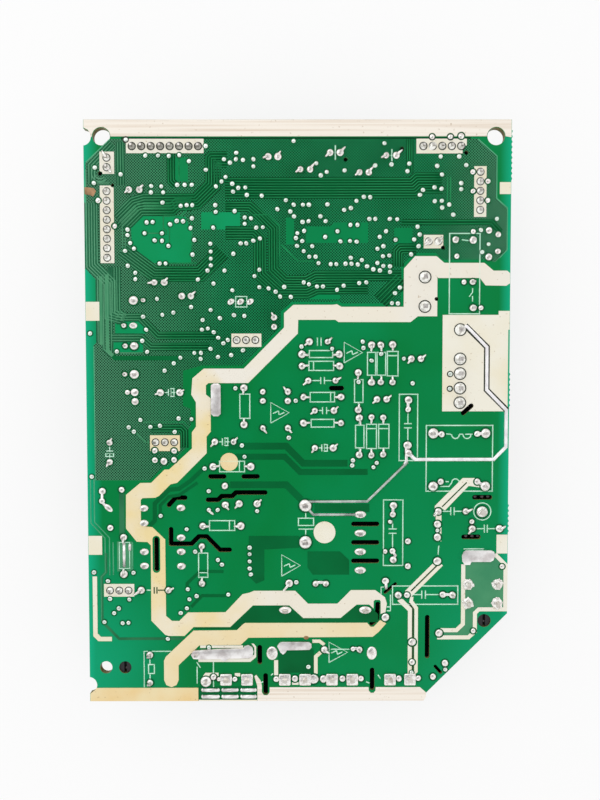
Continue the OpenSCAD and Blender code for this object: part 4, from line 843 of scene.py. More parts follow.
TOP_PINS = pin_row(-44.5, 72.15, 8, PIN_PITCH, 0)
HEADER_PINS = (
    TOP_PINS + pin_row(-51.4, 60.2, 8, 0, -PIN_PITCH) + pin_row(33.75, 72.15, 5, PIN_PITCH, 0)
    + pin_row(49.15, 65.3, 5, 0, -PIN_PITCH) + pin_row(-51.3, 69.1, 2, 0, -PIN_PITCH)
    + pin_row(35.4, 46.8, 2, PIN_PITCH, 0) + pin_row(-16.6, 20.25, 3, PIN_PITCH, 0)
    + pin_row(-38.8, -7.5, 3, PIN_PITCH, 0) + pin_row(-51.65, -48.3, 3, PIN_PITCH, 0)
)
SLANTED_PINS = [(36.29, 72.15), (35.4, 46.8), (37.94, 46.8)]      # joints drawn out at 45 degrees
WIDE_PINS = [(34.4, 37.2), (34.4, 29.28)] + pin_row(44.05, 23, 6, 0, -WIDE_PITCH)
SQUARE_TABS = [(x, -73.1) for x in (-14.1, -19.9, -3.7, 1.9, 9.3, 14.9, 25.3, 30.8)]
ROSETTES = [(46.7, -46.8), (54.7, -46.8), (46.7, -52), (54.7, -52)]
BRIDGE_LEADS = pin_row(17.05, -27.4, 4, 0, -5.13)
TRANSFORMER_PINS = [(-42.15, y) for y in (-25.6, -29.7, -37.6, -41.5)] + [
    (-32.05, y) for y in (-25.5, -33.7, -37.6, -41.6)]
RESONATOR_LEGS = pin_row(-18.1, 30.6, 3, 2.6, 0)

# Joints with a size of their own: place, then width and length.
SIZES = {
    (-44.5, 31): (2.7, 2.6), (-44.43, 11): (2.7, 2.6), (-41.8, 31): (1.5, 1.4), (-46.97, 11): (1.6, 1.5),
    (-47.1, 24.2): (1.5, 1.5), (-44.6, 24.2): (2.4, 1.9), (-46.8, 18.7): (1.6, 1.6),
    (-44.4, 18.7): (2.4, 2.3), (51.6, 49.7): (1.9, 1.9), (54.1, 48.6): (1.7, 1.7), (54.05, 44.1): (1.7, 1.7),
    (51.6, 42.6): (2.0, 2.0), (-25.4, -73.6): (3.1, 3.1), (-2.45, -46.4): (2.2, 2.2), (30, -7.9): (2.4, 2.2),
    (36.9, -5.2): (3.0, 3.0), (-7.2, -65.9): (3.2, 3.9), (20.3, -65.9): (2.9, 3.8),
}
CLIP_FEET = [(-3.55, -53.85), (18.45, -53.85)]
POST_FOOT = (50.4, -26.7)


def own_size(x, y):
    """Width and length of a joint listed in SIZES, or None."""
    return next((size for p, size in SIZES.items() if near((x, y), p, 0.9)), None)


# Drops one millimetre wide, as height and radius: a full one, one with a pin standing out, a low one.
ROUND_DROP = [(-0.03, 0.5), (0.1, 0.48), (0.28, 0.42), (0.43, 0.3), (0.5, 0.17), (0.52, 0.05)]
PIN_DROP = [(-0.03, 0.5), (0.12, 0.47), (0.28, 0.38), (0.42, 0.26), (0.6, 0.18)]
VIA_DROP = [(-0.03, 0.5), (0.14, 0.44), (0.25, 0.28), (0.27, 0.1)]
dome = shape_dome("joint_dome", ROUND_DROP, 16, joint_solder)
flat_dome = shape_dome("pin_dome", PIN_DROP, 16, pin_solder)
pale_dome = shape_dome("pale_dome", PIN_DROP, 16, pale_pin_solder)
drop = shape_dome("via_drop", VIA_DROP, 10, via_solder)


def among(x, y, places, reach=0.5):
    """Whether a joint belongs to one of the given places."""
    return any(near((x, y), p, reach) for p in places)


# Each joint as x, y, width, length, height and turn. A plain one keeps its width, give or take a tenth.
pin_places, pale_places, joint_places, big_places = [], [], [], []
for x, y, w in joints:
    turn = rng.uniform(0, math.tau)
    if among(x, y, TOP_PINS):
        pin_places.append((x, y, 1.85, 1.85, 1.0, turn))
    elif among(x, y, SLANTED_PINS):
        pale_places.append((x, y, 2.6, 1.9, 1.0, math.radians(45)))
    elif among(x, y, HEADER_PINS):
        pale_places.append((x, y, 1.85, 1.85, 1.0, turn))
    elif among(x, y, WIDE_PINS):
        big_places.append((x, y, 3.15, 3.15, 1.25, turn))
    elif among(x, y, SQUARE_TABS + ROSETTES, 0.9):
        continue
    elif among(x, y, BRIDGE_LEADS):
        joint_places.append((x, y, 3.3, 2.1, 1.0, 0))
    elif among(x, y, TRANSFORMER_PINS):
        joint_places.append((x, y, 2.6, 2.0, 1.0, 0))
    elif among(x, y, CLIP_FEET):
        joint_places.append((x, y, 3.6, 2.2, 1.1, 0))
    elif near((x, y), POST_FOOT):
        joint_places.append((x, y, 3.3, 3.2, 1.3, turn))
    elif among(x, y, RESONATOR_LEGS):
        joint_places.append((x, y, 2.3, 1.7, 1.0, math.radians(35)))
    elif own_size(x, y):
        joint_places.append((x, y, *own_size(x, y), 1.1, 0))
    elif w > 2.5:
        joint_places.append((x, y, w * 1.08, w * rng.uniform(1.0, 1.08), 1.3, turn))
    else:
        d = w * rng.uniform(0.9, 1.1)
        joint_places.append((x, y, d, d * rng.uniform(0.9, 1.05), 1.0, turn))
parts = [
    put_copies(dome, "round_joints", joint_places), put_copies(flat_dome, "pin_joints", pin_places),
    put_copies(pale_dome, "pale_pin_joints", pale_places), put_copies(pale_dome, "wide_joints", big_places),
]


def shape_block_joint(name, w, l, h):
    """A square joint with rounded shoulders, cut off flat a little below the board's face."""
    bpy.ops.object.select_all(action="DESELECT")
    bpy.ops.mesh.primitive_cube_add(size=1, location=(0, 0, 0))
    obj = bpy.context.object
    obj.scale = (w * MM, l * MM, 2 * h * MM)
    bpy.ops.object.transform_apply(location=True, scale=True)
    bpy.ops.object.mode_set(mode="EDIT")
    bpy.ops.mesh.select_all(action="SELECT")
    bpy.ops.mesh.bevel(offset=0.42 * MM, segments=4, affect="EDGES")
    bpy.ops.mesh.bisect(plane_co=(0, 0, -0.05 * MM), plane_no=(0, 0, 1), clear_inner=True, use_fill=True)
    bpy.ops.mesh.select_all(action="SELECT")
    bpy.ops.mesh.normals_make_consistent(inside=False)
    bpy.ops.object.mode_set(mode="OBJECT")
    bpy.ops.object.shade_smooth()
    obj.name = name
    obj.data.materials.append(joint_solder)
    return obj


block = shape_block_joint("tab_joint", 3.3, 3.3, 0.7)
parts.append(put_copies(block, "square_joints", [(x, y, 1, 1, 1, 0) for x, y in SQUARE_TABS]))
bpy.data.objects.remove(block)

# Lobed joints of the upright tabs: one broad dome with small ones strewn over it.
LOBE_COUNT, LOBE_REACH = 26, 1.5
lobes = []
for x, y in ROSETTES:
    lobes.append((x, y, 3.2, 3.2, 1.2, 0))
    for _ in range(LOBE_COUNT):
        a, r = rng.uniform(0, math.tau), LOBE_REACH * math.sqrt(rng.uniform(0.05, 1))
        w, l, lift = rng.uniform(0.6, 0.95), rng.uniform(0.6, 0.95), 1.9 - 0.75 * r
        lobes.append((x + r * math.cos(a), y + r * math.sin(a), w, l, lift, a))
parts.append(put_copies(dome, "lobed_joints", lobes))

# Leads bent over before soldering: place, direction in degrees, length.
BENT = [
    (3.1, 19.8, 220, 1.5), (8.15, 19.8, 45, 1.4), (2.8, 9.2, 220, 1.7), (10.2, 9.3, 28, 1.6),
    (-3.0, 6.3, 125, 1.5), (4.6, 1.1, 220, 1.4), (9.8, 1.1, 45, 1.5), (4.6, -9.1, 235, 1.4),
    (9.6, -9.1, 45, 1.5), (-22.7, -7.5, 230, 1.4), (-17.55, -7.35, 45, 1.5), (-37.4, 6.0, 200, 1.3),
    (-32.1, 6.1, 30, 1.3), (-51.3, -7.6, 60, 1.3), (-51.4, -12.9, 240, 1.3), (-9.56, -3.7, 310, 1.6),
    (-2.76, -3.6, 310, 1.6), (-11.2, -24.35, 45, 1.6), (-16.1, -24.4, 225, 1.5), (-19.9, -24.7, 310, 1.5),
    (-42.6, 60.6, 45, 1.5), (-45.4, 60.55, 225, 1.2), (38.4, -26.5, 225, 1.6), (45.9, -26.6, 25, 1.8),
    (47.7, -31.3, 230, 1.7), (55.2, -31.4, 30, 1.6), (-51.4, 69.1, 120, 1.8), (-51.2, 66.5, 310, 1.8),
    (35.4, 46.8, 225, 1.4), (37.94, 46.8, 45, 1.4), (49, -27.3, 45, 2.0), (50.45, -26.6, 45, 1.0),
    (-2.45, -46.4, 230, 2.4), (7.1, -64.8, 330, 1.6), (33.4, 15.2, 40, 1.5), (30.8, 15.1, 230, 1.5),
    (21.5, 4.1, 220, 1.5), (24.1, 4.2, 40, 1.5), (-35.6, -48.2, 25, 1.6), (-43.2, -48.2, 215, 2.2),
    (-6.4, 26.4, 120, 1.3), (-7.9, 69.4, 200, 1.4), (-5.3, 69.4, 60, 1.3), (0.8, 66, 215, 1.5),
    (3.3, 66, 50, 1.7), (8.7, 70.4, 225, 1.6), (11.4, 70.4, 45, 1.8), (16.6, 65.2, 220, 1.4),
    (19.1, 65.2, 50, 1.6), (23.8, 69.7, 210, 1.5), (26.5, 69.7, 40, 1.9), (-38.8, 35.8, 190, 1.6),
    (-36.2, 35.8, 45, 1.5), (-28.9, 32.2, 40, 1.6), (1.1, 16.4, 350, 1.7), (11.2, 16.4, 190, 1.6),
    (1.1, 13.2, 5, 1.8), (11.3, 13.2, 175, 1.7), (1.5, 4.75, 0, 1.8), (11.7, 4.75, 180, 1.7),
    (1.5, -2.3, 5, 1.8), (11.7, -2.3, 175, 1.7), (-14.7, 7.3, 265, 1.7), (-14.7, -2.7, 88, 1.7),
    (16.45, 11.4, 262, 1.7), (16.45, 1.3, 85, 1.6), (16.7, -0.9, 280, 1.8), (16.7, -11, 80, 1.7),
    (20, -0.7, 268, 1.6), (20, -11.1, 92, 1.6), (23.2, -0.8, 270, 1.6), (23.2, -10.9, 88, 1.6),
    (20, 18.9, 265, 1.6), (22.5, 18.9, 275, 1.6), (25.7, 19, 270, 1.5), (20, 8.8, 90, 1.5),
    (22.5, 8.8, 85, 1.5), (25.7, 8.8, 92, 1.5), (-26.1, -30.5, 0, 1.8), (-15.7, -30.5, 180, 1.7),
    (-26.4, -46.4, 88, 1.7), (-26.4, -36.1, 270, 1.6), (-23.2, -14.1, 5, 1.8), (-12.9, -14.1, 178, 1.7),
    (-24.4, -26.1, 320, 1.6), (-47.8, -33.6, 270, 1.5), (-47.8, -43.8, 90, 1.5),
]
LEAD_R = 0.34
LEAD_PATH = [(0, 0.75), (0.6, 0.6), (1, LEAD_R)]      # share of the length, and height over the board
tails = bpy.data.curves.new("bent_leads", "CURVE")
tails.dimensions = "3D"
tails.bevel_depth = LEAD_R * MM
tails.bevel_resolution = 2
tails.use_fill_caps = True
for x, y, way, length in BENT:
    s = tails.splines.new("POLY")
    s.points.add(len(LEAD_PATH) - 1)
    a = math.radians(way)
    for p, (share, z) in zip(s.points, LEAD_PATH):
        d = length * share
        p.co = ((x + d * math.cos(a)) * MM, (y + d * math.sin(a)) * MM, z * MM, 1)
bent = bpy.data.objects.new("bent_leads", tails)
bpy.context.scene.collection.objects.link(bent)
settle(bent, 0, joint_solder)
parts.append(bent)

soldered = merge_pieces(parts)
soldered.name = "soldered_joints"
keep(soldered)
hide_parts("solder_joints")

# Solder on pads without a lead. Two pads that touch are read as one, so their drops are given here.
TWIN_PADS = (-45.25, 6.1)
pad_places = [(-46.35, 6.1, 1.5, 1.5, 0.7, 0), (-44.4, 6.1, 2.3, 2.2, 0.75, 0),
              (-51.9, -25.5, 3.0, 1.6, 0.7, math.radians(-42))]
for x, y, w in pads:
    if near((x, y), TWIN_PADS):
        continue
    oval = own_size(x, y)
    wide, tall = oval or (w * 1.1, w * rng.uniform(0.98, 1.12))
    pad_places.append((x, y, wide, tall, 0.75, 0 if oval else rng.uniform(0, 6)))
pad_places += [(4.2, -73.1, 3.0, 2.7, 0.6, 0), (7.0, -73.1, 2.2, 2.2, 0.7, 0), (-0.9, -73.0, 1.9, 1.9, 0.7, 0)]
extra = put_copies(dome, "pad_domes", pad_places)
keep(extra)
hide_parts("solder_pads")

# Dark ring of mask between the ink and the joint of each pin.
TOP_RING_R, RING_R, WIDE_RING_R, SMALL_RING_R = 1.12, 1.08, 1.75, 0.88
SMALL_RINGS = [(41.35, 11), (41.3, 7), (36.1, 74.5), (41, 74.5), (43.9, 74.8), (-46.1, 73.9)]
rings = []
for x, y, w in joints:
    if among(x, y, HEADER_PINS):
        rings.append(round_of(x, y, TOP_RING_R if y > 71 else RING_R, 24))
    elif among(x, y, WIDE_PINS):
        rings.append(round_of(x, y, WIDE_RING_R, 28))
rings += [round_of(x, y, SMALL_RING_R, 20) for x, y in SMALL_RINGS]
print_each("pin_rings", rings, RING_RISE, ring_mask)
POWER_MARGIN = strip([(45.4, 24.1), (51.3, 18.3), (51.3, 6.7), (56.9, 1.1)], 1.6)
print_areas("track_margins", [POWER_MARGIN], RING_RISE, ring_mask)

# Small through-connections, listed one by one: their places follow no pitch.
VIAS = [
    (-54.5, 66.5), (-54.8, 62.4), (-47.6, 64.7), (-39.4, 61.6), (-39.5, 59.9), (-36.7, 61.5), (-36.2, 59.9),
    (-32.4, 61.9), (-30.4, 61.9), (-28.5, 61.9), (-36.4, 57.2), (-31.5, 56.3), (-29.9, 56.5), (-28.4, 56.5),
    (-24.7, 65.9), (-19.8, 68.7), (-19.4, 64), (-20.5, 62.8), (-22, 61.5), (-22.2, 56.5), (-22.1, 54.7),
    (-22.8, 50.5), (-28.5, 53), (-28.9, 50.4), (-32.6, 52.3), (-30.9, 52.2), (-34.4, 51.4), (-40.7, 51.9),
    (-39.1, 52), (-41.3, 49), (-36.6, 49), (-38.6, 47.1), (-36.6, 47), (-34.9, 45.6), (-27.9, 47.2),
    (-28.4, 43.3), (-45.9, 50), (-45.9, 48.5), (-45.2, 46.4), (-44.2, 44.9), (-46.6, 44.3), (-45.9, 40.3),
    (-37.3, 40.9), (-35.7, 40.9), (-23.6, 46.2), (-23.5, 44.1), (-23.5, 42.2), (-23.5, 40.4), (-24.4, 39),
    (-19.8, 39), (-40.9, 69.7), (-37.5, 69.7), (-34.6, 69.6), (-31.8, 69.8), (-29.2, 68.2), (-24.7, 72.2),
    (-46.1, 73.9), (-1.1, 73.5), (-16.5, 70.4), (-16.6, 68.7), (-14.7, 68.5), (-11.9, 68.7), (-11.9, 66.8),
    (-18.2, 67.8), (-17.6, 62.2), (-16, 61.1), (-14.1, 61.2), (-17.4, 60.1), (-13.7, 59.2), (-9.7, 59),
    (-3.2, 57.8), (-1.1, 56.6), (1.4, 56.6), (3, 56.6), (8, 56.7), (-5.5, 55.4), (-2, 54.8), (-1, 53.5),
    (-17, 54.9), (-14.3, 53.2), (-12.6, 53), (-14.3, 51.5), (-11.2, 50.5), (-9.4, 50.6), (6.1, 53.5),
    (7.5, 52.2), (1.3, 52), (2.9, 52.2), (1.7, 49.6), (-0.1, 49), (-0.5, 47.7), (1.2, 46.9), (-0.2, 45.6),
    (3.9, 45.5), (1.6, 44.2), (3.1, 42.7), (4.8, 42.7), (5.6, 41), (7.4, 48), (10.7, 49.5), (11.5, 46.8),
    (14.1, 46.9), (15.9, 46.7), (14.3, 42.4), (17.3, 41.8), (18.7, 40.1), (8.9, 40.7), (10.4, 40.7),
    (12.9, 40.8), (14.5, 40.8), (16.2, 40.6), (14.2, 51.2), (16.1, 51.2), (19.3, 52.8), (12.5, 55.2),
    (14.3, 55.7), (15.8, 57.6), (17.8, 58.7), (19.5, 58.6), (12.6, 65.7), (7.8, 65.3), (6.2, 64.4), (5, 67.6),
    (-10.2, 47.6), (-12, 47), (-13.9, 46.3), (-15.4, 46.3), (-17.4, 43.5), (-10.4, 39.2), (23.3, 72.9),
    (25.2, 67.3), (30, 67.5), (29.5, 65.5), (20.8, 67), (38.4, 69.4), (43.4, 69.4), (37.5, 66.9),
    (45.3, 67.1), (38.8, 64.6), (44, 62.3), (44, 60.7), (36.8, 61.2), (38.7, 60.8), (33.7, 60.5),
    (32.9, 59.2), (36.9, 57.5), (38.8, 57.6), (40.8, 56.6), (38.9, 55.8), (41.9, 53.9), (20.9, 52.8),
    (24.8, 52.8), (26.8, 52.7), (53.7, 52.8), (32.3, 50.7), (23.8, 49.5), (22.1, 48), (26.4, 47.2),
    (32.9, 48.6), (31.4, 47.3), (32.6, 45.5), (23.1, 45.5), (21.5, 44.8), (30.6, 43.3), (23, 42.8),
    (24.7, 43), (21.5, 41), (23.1, 40.2), (24.9, 40.1), (20.4, 39.3), (22.2, 39), (49.4, 49.8), (51.5, 46),
    (49.8, 43.9), (-11.7, 37.5), (-10.4, 34.5), (-7.9, 34.2), (-6, 33.3), (-3.7, 34.6), (-4.8, 32),
    (-1.9, 31.9), (1.6, 35.8), (3, 35.3), (5.2, 34.7), (6.8, 34.7), (10.6, 33.8), (12.4, 34.9), (16.6, 35.6),
    (18.5, 35.8), (-17.7, 33.7), (-17.3, 27), (-14.5, 26.8), (-19, 20.3), (-14.9, 17.5), (-18.1, 16.2),
    (24.9, 38.6), (27.6, 34.4), (26.3, 32.9), (25.5, 30.2), (27.1, 30.1), (28.8, 15.2), (31.2, 8.5),
    (1, 18.5), (9.3, 17.9), (17.6, 19.8), (17.8, 18.1), (-17, 7.2), (-0.6, 3.8), (-43.9, 38.4), (-43.9, 36.7),
    (-27, 36.6), (-22.8, 35.5), (-28.9, 29.2), (-23.6, 28.4), (-33.7, 27.7), (-36.7, 27.1), (-38.1, 31.4),
    (-41.9, 26.6), (-25.8, 25.7), (-21.1, 26.2), (-26, 23.1), (-24.4, 23.4), (-22.8, 22.4), (-41.1, 23.1),
    (-21.6, 20.9), (-20.2, 19.4), (-42.2, 20.1), (-40.9, 17.1), (-49.1, 17.2), (-23.7, 17.9), (-28.1, 16.8),
    (-26.3, 16.8), (-26.4, 15.2), (-31.9, 15.5), (-33.7, 14), (-21.7, 15.7), (-36.2, 12), (-56.3, 22.1),
    (16.5, 8.9), (20, 14.7), (22.6, 16.5), (41.4, 11), (41.3, 7), (-42.9, -1.4), (-32.5, -1), (-29, -1.2),
    (-46.1, -3.4), (-40.2, -3.3), (-37.6, -3), (-44.7, -4.6), (-33.6, -4.7), (-56.3, -16.9), (-2.5, -6.3),
    (-15.3, -8.4), (-14.6, -11.5), (-25.5, -14.7), (15, -12.5), (14.8, -13.9), (21.5, -13.2), (20.6, -14.4),
    (-24.4, -20.9), (-24.4, -26.1), (-22, -26.1), (-11.2, -26.4), (-37.6, -27.7), (-30.5, -31.4),
    (-28.2, -37.6), (-22, -39.9), (-20.9, -41.2), (-13.3, -36.5), (-13.3, -38.3), (-13.3, -40.3),
    (-13.3, -42.3), (-13, -43.9), (-30.3, -48), (-29.9, -50.8), (-27.9, -49.9), (-30.6, -53.3),
    (-32.3, -54.6), (-19.2, -49.5), (-0.5, -46.1), (2.8, -69.7), (47.6, -31.3), (-49.3, -53.3),
    (-50.6, -54.6), (-53.3, -57.1), (-48.3, -57.4), (-46.7, -57.3), (-35.9, -61.8), (-52.2, -45.7),
    (-51.7, -50.6), (-46.4, -50.8), (-56, -43.3), (-24.6, -64.2), (38.2, -26.4), (38.2, -31.8), (31.3, -71.3),
    (40.6, -70.5), (-45.2, -43.4),
]

# Cloudy lumps of sealant in two slots and over the two spacers.
SLOT_BLOBS = [(48.6, -22.65), (50.5, -22.65), (52.2, -22.65), (46.2, -33.55), (47.9, -33.55), (49.5, -33.55)]
SPACERS = [(51.2, -56.85), (-47.7, -69.75)]
ROUND_SPACER = [(-0.75, 0.5), (0.75, 0.7), (0.1, -0.4), (-0.8, -0.75), (1.0, -0.5)]
HOLE_BLOBS = [(x + dx, y + dy) for x, y in SPACERS for dx, dy in ROUND_SPACER]
blobs = put_copies(drop, "slot_blobs", [(x, y, 1.0, 0.8, 0.6, 0) for x, y in SLOT_BLOBS]
                   + [(x, y, 0.75, 0.55, 0.7, rng.uniform(0, 6)) for x, y in HOLE_BLOBS])
blobs.data.transform(Matrix.Translation((0, 0, -SLOT_DEPTH * MM)))
refinish(blobs, silicone)
keep(blobs)

# Dark discs: painted shade round each round joint and via, and painted shade inside the locating holes.
halos = [(x, y, w + 2 * HALO_MARGIN) for x, y, w, l, h, turn in joint_places + pad_places if abs(w - l) < 0.4]
halos += [(x, y, VIA_D + 2 * VIA_MARGIN) for x, y in VIAS]
disc = shape_dome("round_layer", [(-SUNK, 0.5), (HALO_RISE, 0.5)], 18, joint_shade_mask)
bpy.ops.object.shade_flat()
halo_layer = put_copies(disc, "joint_halos", [(x, y, d, d, 1, 0) for x, y, d in halos])
keep(halo_layer)
peg_shade = put_copies(disc, "peg_shade", [(x, y, d + 0.1, d + 0.1, 1, 0) for x, y, d in PEG_HOLES])
peg_shade.data.transform(Matrix.Translation((0, 0, -HOLE_DEPTH * MM)))
refinish(peg_shade, hole_shade_black)
keep(peg_shade)
bpy.data.objects.remove(disc)
via_places = [(x, y, VIA_D * rng.uniform(0.92, 1.1), VIA_D * rng.uniform(0.92, 1.1), 1, rng.uniform(0, 6))
              for x, y in VIAS]
keep(put_copies(drop, "via_drops", via_places))

# Solder laid thick on the high-current tracks.
BARS = [
    [(-23.6, 8.0), (-22.9, 8.5), (-21.6, 8.5), (-20.95, 8.0), (-20.95, 0.2), (-21.6, -0.4), (-22.9, -0.4),
     (-23.6, 0.2)],
    [(45.4, -37.5), (46.0, -37.2), (52.8, -37.2), (53.6, -37.6), (53.9, -38.6), (53.5, -39.9), (52.6, -40.4),
     (47.4, -40.4), (47.1, -41.2), (45.6, -41.2), (44.9, -40.2), (44.8, -38.6)],
    [(-28.9, -65), (-28, -64.8), (-21.5, -64.5), (-15.2, -64.35), (-14.7, -63.6), (-13.6, -63.3),
     (-12.6, -64), (-12.3, -65.2), (-12.5, -66.3), (-13.4, -67.0), (-19.2, -67.1), (-20.2, -67.9),
     (-21.4, -67.2), (-27, -67.3), (-28.8, -67.2), (-29.5, -66.1)],
    [(-5.8, -63.7), (-5.2, -62.8), (-4.5, -62.5), (2.9, -62.5), (3.6, -63), (3.7, -64), (3.1, -64.7),
     (-3.1, -64.8), (-3.5, -65.5), (-4.2, -66.0), (-4.9, -65.4), (-5.3, -64.6)],
]
# Two rows of three low bars: left end, height on the board, right end.
LOW_BARS = [
    (x0, y, x1) for x0, x1 in ((-26.9, -21.6), (-21.3, -16.4), (-16.1, -11.4)) for y in (-76.15, -78.0)]


def pour_solder(name, outlines, height, softness):
    """Thick solder with rounded shoulders inside the given outlines."""
    heap = print_areas(name, outlines, height, track_tin)
    soft = heap.modifiers.new("shoulders", "BEVEL")
    soft.width = softness * MM
    soft.segments = 3
    soft.limit_method = "ANGLE"
    bpy.ops.object.modifier_apply(modifier="shoulders")
    bpy.ops.object.shade_smooth()
    return heap


POWER_TRACK = [
    (45.2, 23.7), (45.8, 23.9), (51.3, 18.3), (51.3, 6.7), (56.7, 1.2), (56.7, -8.9), (53.4, -12.3),
    (32, -12.3), (30.7, -11),
]
BULK_TRACKS = [[(29.9, -13), (18.9, -23.8), (2.6, -23.8)], [(3.1, -26.2), (4.2, -27.4), (16.5, -27.4)]]
SHORT_RUNS = [
    [(-47.7, -35.2), (-47.7, -41.8)], [(-46.1, -35.4), (-46.1, -37.2)], [(15, -64.5), (17.2, -64.6)],
    [(29.5, -8.4), (29.6, -12.8), (29, -13.6)], [(30, -10.5), (31.6, -12.2)], [(26, -25), (25.9, -27.4)],
    [(25.9, -37.6), (26.7, -38.7), (25.9, -39.9)], [(29.96, 3.9), (29.96, 1.4)], [(36.9, -5.2), (39.3, -5.4)],
    [(51.1, -5.1), (48.9, -5.3)], [(49, -18.4), (51.1, -19.6)], [(4.9, -46.1), (7.5, -46.2)],
    [(38.2, -26.4), (37.2, -27.8)], [(39.5, -49.5), (42.2, -49.6)], [(24.1, -46.2), (24.2, -48)],
    [(-53.5, -21), (-53.6, -23.8), (-52.6, -25)],
]
LOW_BAR_W = 1.15
LOW_BAR_CUT, LOW_BAR_END = 0.55, 0.58  # how far its straight run and the middle of its end drop are set in
BAR_HEIGHT, BAR_SHOULDER = 0.65, 0.5
heaps = pour_solder("solder_bars", BARS, BAR_HEIGHT, BAR_SHOULDER)
runs = [
    draw_lines("power_tracks", [POWER_TRACK], 1.1, 0.4, power_tin, 2),
    draw_lines("bulk_tracks", BULK_TRACKS, 0.85, 0.35, dull_tin, 2),
    draw_lines("short_runs", SHORT_RUNS, 0.9, 0.3, track_tin, 2),
    draw_lines("low_bars", [[(x0 + LOW_BAR_CUT, y), (x1 - LOW_BAR_CUT, y)] for x0, y, x1 in LOW_BARS],
               LOW_BAR_W, 0.4, track_tin, 2),
]
end_places = [(x, y, LOW_BAR_W, LOW_BAR_W, 0.65, 0)
              for x0, y, x1 in LOW_BARS for x in (x0 + LOW_BAR_END, x1 - LOW_BAR_END)]
ends = put_copies(flat_dome, "bar_ends", end_places)
refinish(ends, track_tin)
merge_pieces([heaps, ends] + runs)
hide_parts("track_solder")
for template in (dome, flat_dome, pale_dome, drop):
    bpy.data.objects.remove(template)

# Brown flux left beside two joints.
FLUX = [round_of(2.2, -61.5, 0.7, 14, 0.5),
        [(-57.3, 61.3), (-54.8, 61.0), (-54.2, 60.2), (-55, 58.8), (-56, 59.2), (-57.3, 59.4)]]
print_areas("flux_stain", FLUX, LINE_RISE, flux_stain)

# ---- finishes of the CAD parts ----
def wound_wire():
    """Enamelled magnet wire wound turn on turn: copper colour with a fine ridge for each turn."""
    m, t, shader, place = finish_of("enamelled_copper_wire", 0.3, 1.0)
    tone = two_tones(t, place, "#C56A3A", "#A8502A", 400)
    t.links.new(tone.outputs[2], shader.inputs["Base Color"])
    turns = add(t, "ShaderNodeTexWave", {"Vector": (place, "Object")}, bands_direction="Z", in_Scale=1000)
    bump = add(t, "ShaderNodeBump", {"Height": (turns, "Fac")}, in_Strength=0.8, in_Distance=0.2 * MM)
    t.links.new(bump.outputs["Normal"], shader.inputs["Normal"])
    return m


def tube_glass():
    """Clear drawn glass with a faint green tint."""
    m, t, shader, place = finish_of("drawn_fuse_glass", 0.05, 0.0, Transmission_Weight=0.9, IOR=1.5)
    tone = two_tones(t, place, "#F0F6F4", "#DCE8E4", 200)
    t.links.new(tone.outputs[2], shader.inputs["Base Color"])
    return m


FINISHES = {
    # bright metal: rippled solder, drawn wire, stamped strip
    "solder": joint_solder,
    "tinned_lead": tin_solder("tinned_copper_wire", "#DAD7D3", "#B0AAA6", 0.28, 0.02),
    "tinned_brass": tin_solder("tinned_brass_strip", "#DEDAD2", "#C2BBAE", 0.3, 0.02, 500),
    # satin header housings in warm and plain white, and the black spacers
    "ivory_nylon": moulded("ivory_moulded_nylon", "#E6DEC8", "#DDD3B8", 0.45, 250),
    "white_nylon": moulded("white_moulded_nylon", "#E9E8E2", "#DFDED6", 0.45, 250),
    "black_nylon": moulded("black_moulded_nylon", "#0A0A0C", "#141417", 0.5, 300),
    # smooth relay cases and boxes, with duller bases and bobbins
    "black_relay_case": moulded("black_moulded_polyester", "#1A1A1C", "#222226", 0.35, 300),
    "blue_relay_case": moulded("blue_moulded_polyester", "#1B4A8C", "#20559C", 0.35, 300),
    "film_capacitor_box": moulded("yellow_moulded_box", "#D9A92E", "#CF9C24", 0.4, 200),
    "phenolic_base": moulded("brown_phenolic", "#5C3A24", "#4A2E1C", 0.5, 500),
    "black_bobbin": moulded("black_phenolic_bobbin", "#1B1B1B", "#252525", 0.5, 400),
    # stone-like grey of the cores and the matt black of the chips
    "ferrite": moulded("ground_ferrite", "#3A3A3D", "#4A4A4D", 0.55, 1500, 0.05),
    "black_epoxy": moulded("black_moulded_epoxy", "#18181A", "#26262A", 0.55, 1200, 0.05),
    # glossy skins: taped winding, shrunk sleeve, baked lacquer, dipped epoxy
    "polyester_tape": moulded("yellow_polyester_tape", "#E0B83A", "#D2A62C", 0.3, 120, squeeze=(1, 1, 8)),
    "capacitor_sleeve": moulded("black_shrunk_sleeve", "#14161C", "#1E222C", 0.28, 150),
    "resistor_lacquer": moulded("tan_baked_lacquer", "#C9AC7C", "#B8986A", 0.35, 400),
    "blue_epoxy_dip": moulded("blue_dipped_epoxy", "#2C62AE", "#2453A0", 0.3, 250, 0.08),
    "orange_epoxy_dip": moulded("orange_dipped_epoxy", "#C9722A", "#B7601E", 0.3, 250, 0.08),
    # slots that read as solid black
    "black_sealant": moulded("black_set_silicone", "#020202", "#050505", 0.9, 500, 0.02,
                             Specular_IOR_Level=0.0),
    # the board itself, copper wire wound on cores, the fuse's tube
    "solder_mask_laminate": mask,
    "enamelled_copper": wound_wire(),
    "fuse_glass": tube_glass(),
}
for sub in frame["record"]["subparts"]:
    refinish(frame["nodes"][sub["node"]], FINISHES[sub["material_slot"]])

# ---- floor, light and camera ----
FLOOR_SIZE = 4                     # metres, to reach past the picture
FLOOR_GLOW = 0.72                  # share of its own light, which keeps it white and its shadows faint
DARK_SKY, BRIGHT_SKY = 0.34, 1.02  # straight above and towards the horizon
SKY_DARKEST = (-0.15, -0.03, 0.98)
LAMP_PLACE = Vector((-0.35, 0.45, 0.75))
LAMP_SIZE, LAMP_POWER = 0.8, 1.5
CAMERA_PLACE = (0.35, 8.82, 178.73)              # millimetres
CAMERA_TILT = (-1.764, -0.08, -0.058)            # degrees
CAMERA_LENS, SENSOR_W = 26, 36

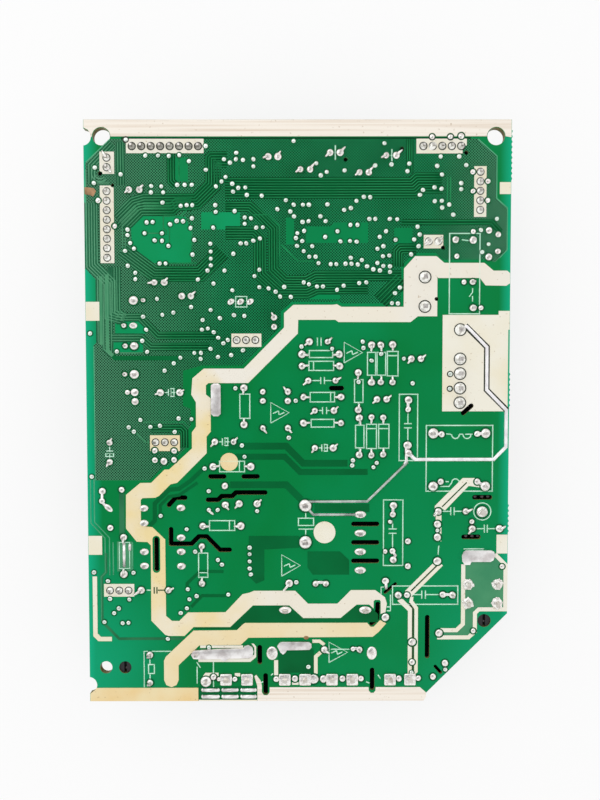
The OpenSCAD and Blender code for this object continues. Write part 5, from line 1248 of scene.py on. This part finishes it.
# Floor of white paper that hardly darkens under the board.
bpy.ops.object.select_all(action="DESELECT")
bpy.ops.mesh.primitive_plane_add(size=FLOOR_SIZE, location=(0, 0, 0))
floor = bpy.context.object
floor.name = "floor"
paper, pt, sheet_shader, _ = finish_of("white_paper_floor", 0.9, Specular_IOR_Level=0.0)
sheet_shader.inputs["Base Color"].default_value = srgb("#F4F4F4")
rays = add(pt, "ShaderNodeLightPath")
seen = add(pt, "ShaderNodeMath", {0: (rays, "Is Camera Ray"), 1: (rays, "Is Glossy Ray")}, operation="MAXIMUM")
seen = add(pt, "ShaderNodeMath", {0: (seen, "Value"), 1: (rays, "Is Transmission Ray")}, operation="MAXIMUM")
glow = add(pt, "ShaderNodeEmission", in_Color=(1, 1, 1, 1), in_Strength=1.0)
share = add(pt, "ShaderNodeMath", {0: (seen, "Value")}, operation="MULTIPLY", in_1=FLOOR_GLOW)
mixed = add(pt, "ShaderNodeMixShader", {0: (share, "Value"), 1: (sheet_shader, "BSDF"), 2: (glow, "Emission")})
pt.links.new(mixed.outputs[0], next(n for n in pt.nodes if n.type == "OUTPUT_MATERIAL").inputs["Surface"])
floor.data.materials.append(paper)

# Sky that is dim overhead, so that shiny solder shows dark hearts, and bright all round.
world = bpy.data.worlds.new("studio")
bpy.context.scene.world = world
world.use_nodes = True
wt = world.node_tree
wt.nodes.clear()
ray_way = add(wt, "ShaderNodeTexCoord")
lean = add(wt, "ShaderNodeVectorMath", {0: (ray_way, "Generated")}, operation="DOT_PRODUCT", in_1=SKY_DARKEST)
fall = add(wt, "ShaderNodeMapRange", {"Value": (lean, "Value")}, in_From_Min=0.975, in_From_Max=0.84,
           in_To_Min=DARK_SKY, in_To_Max=BRIGHT_SKY)
sky = add(wt, "ShaderNodeBackground", {"Strength": (fall, "Result")}, in_Color=(1, 1, 1, 1))
add(wt, "ShaderNodeOutputWorld", {"Surface": (sky, "Background")})

bpy.ops.object.light_add(type="AREA", location=LAMP_PLACE)
lamp = bpy.context.object
lamp.data.size = LAMP_SIZE
lamp.data.energy = LAMP_POWER
lamp.rotation_euler = (-LAMP_PLACE).to_track_quat("-Z", "Y").to_euler()

bpy.ops.object.camera_add(location=[c * MM for c in CAMERA_PLACE],
                          rotation=[math.radians(a) for a in CAMERA_TILT])
camera = bpy.context.object
camera.data.lens = CAMERA_LENS
camera.data.sensor_width = SENSOR_W
camera.data.clip_start = 0.01
bpy.context.scene.camera = camera
bpy.context.scene.view_settings.view_transform = "Standard"
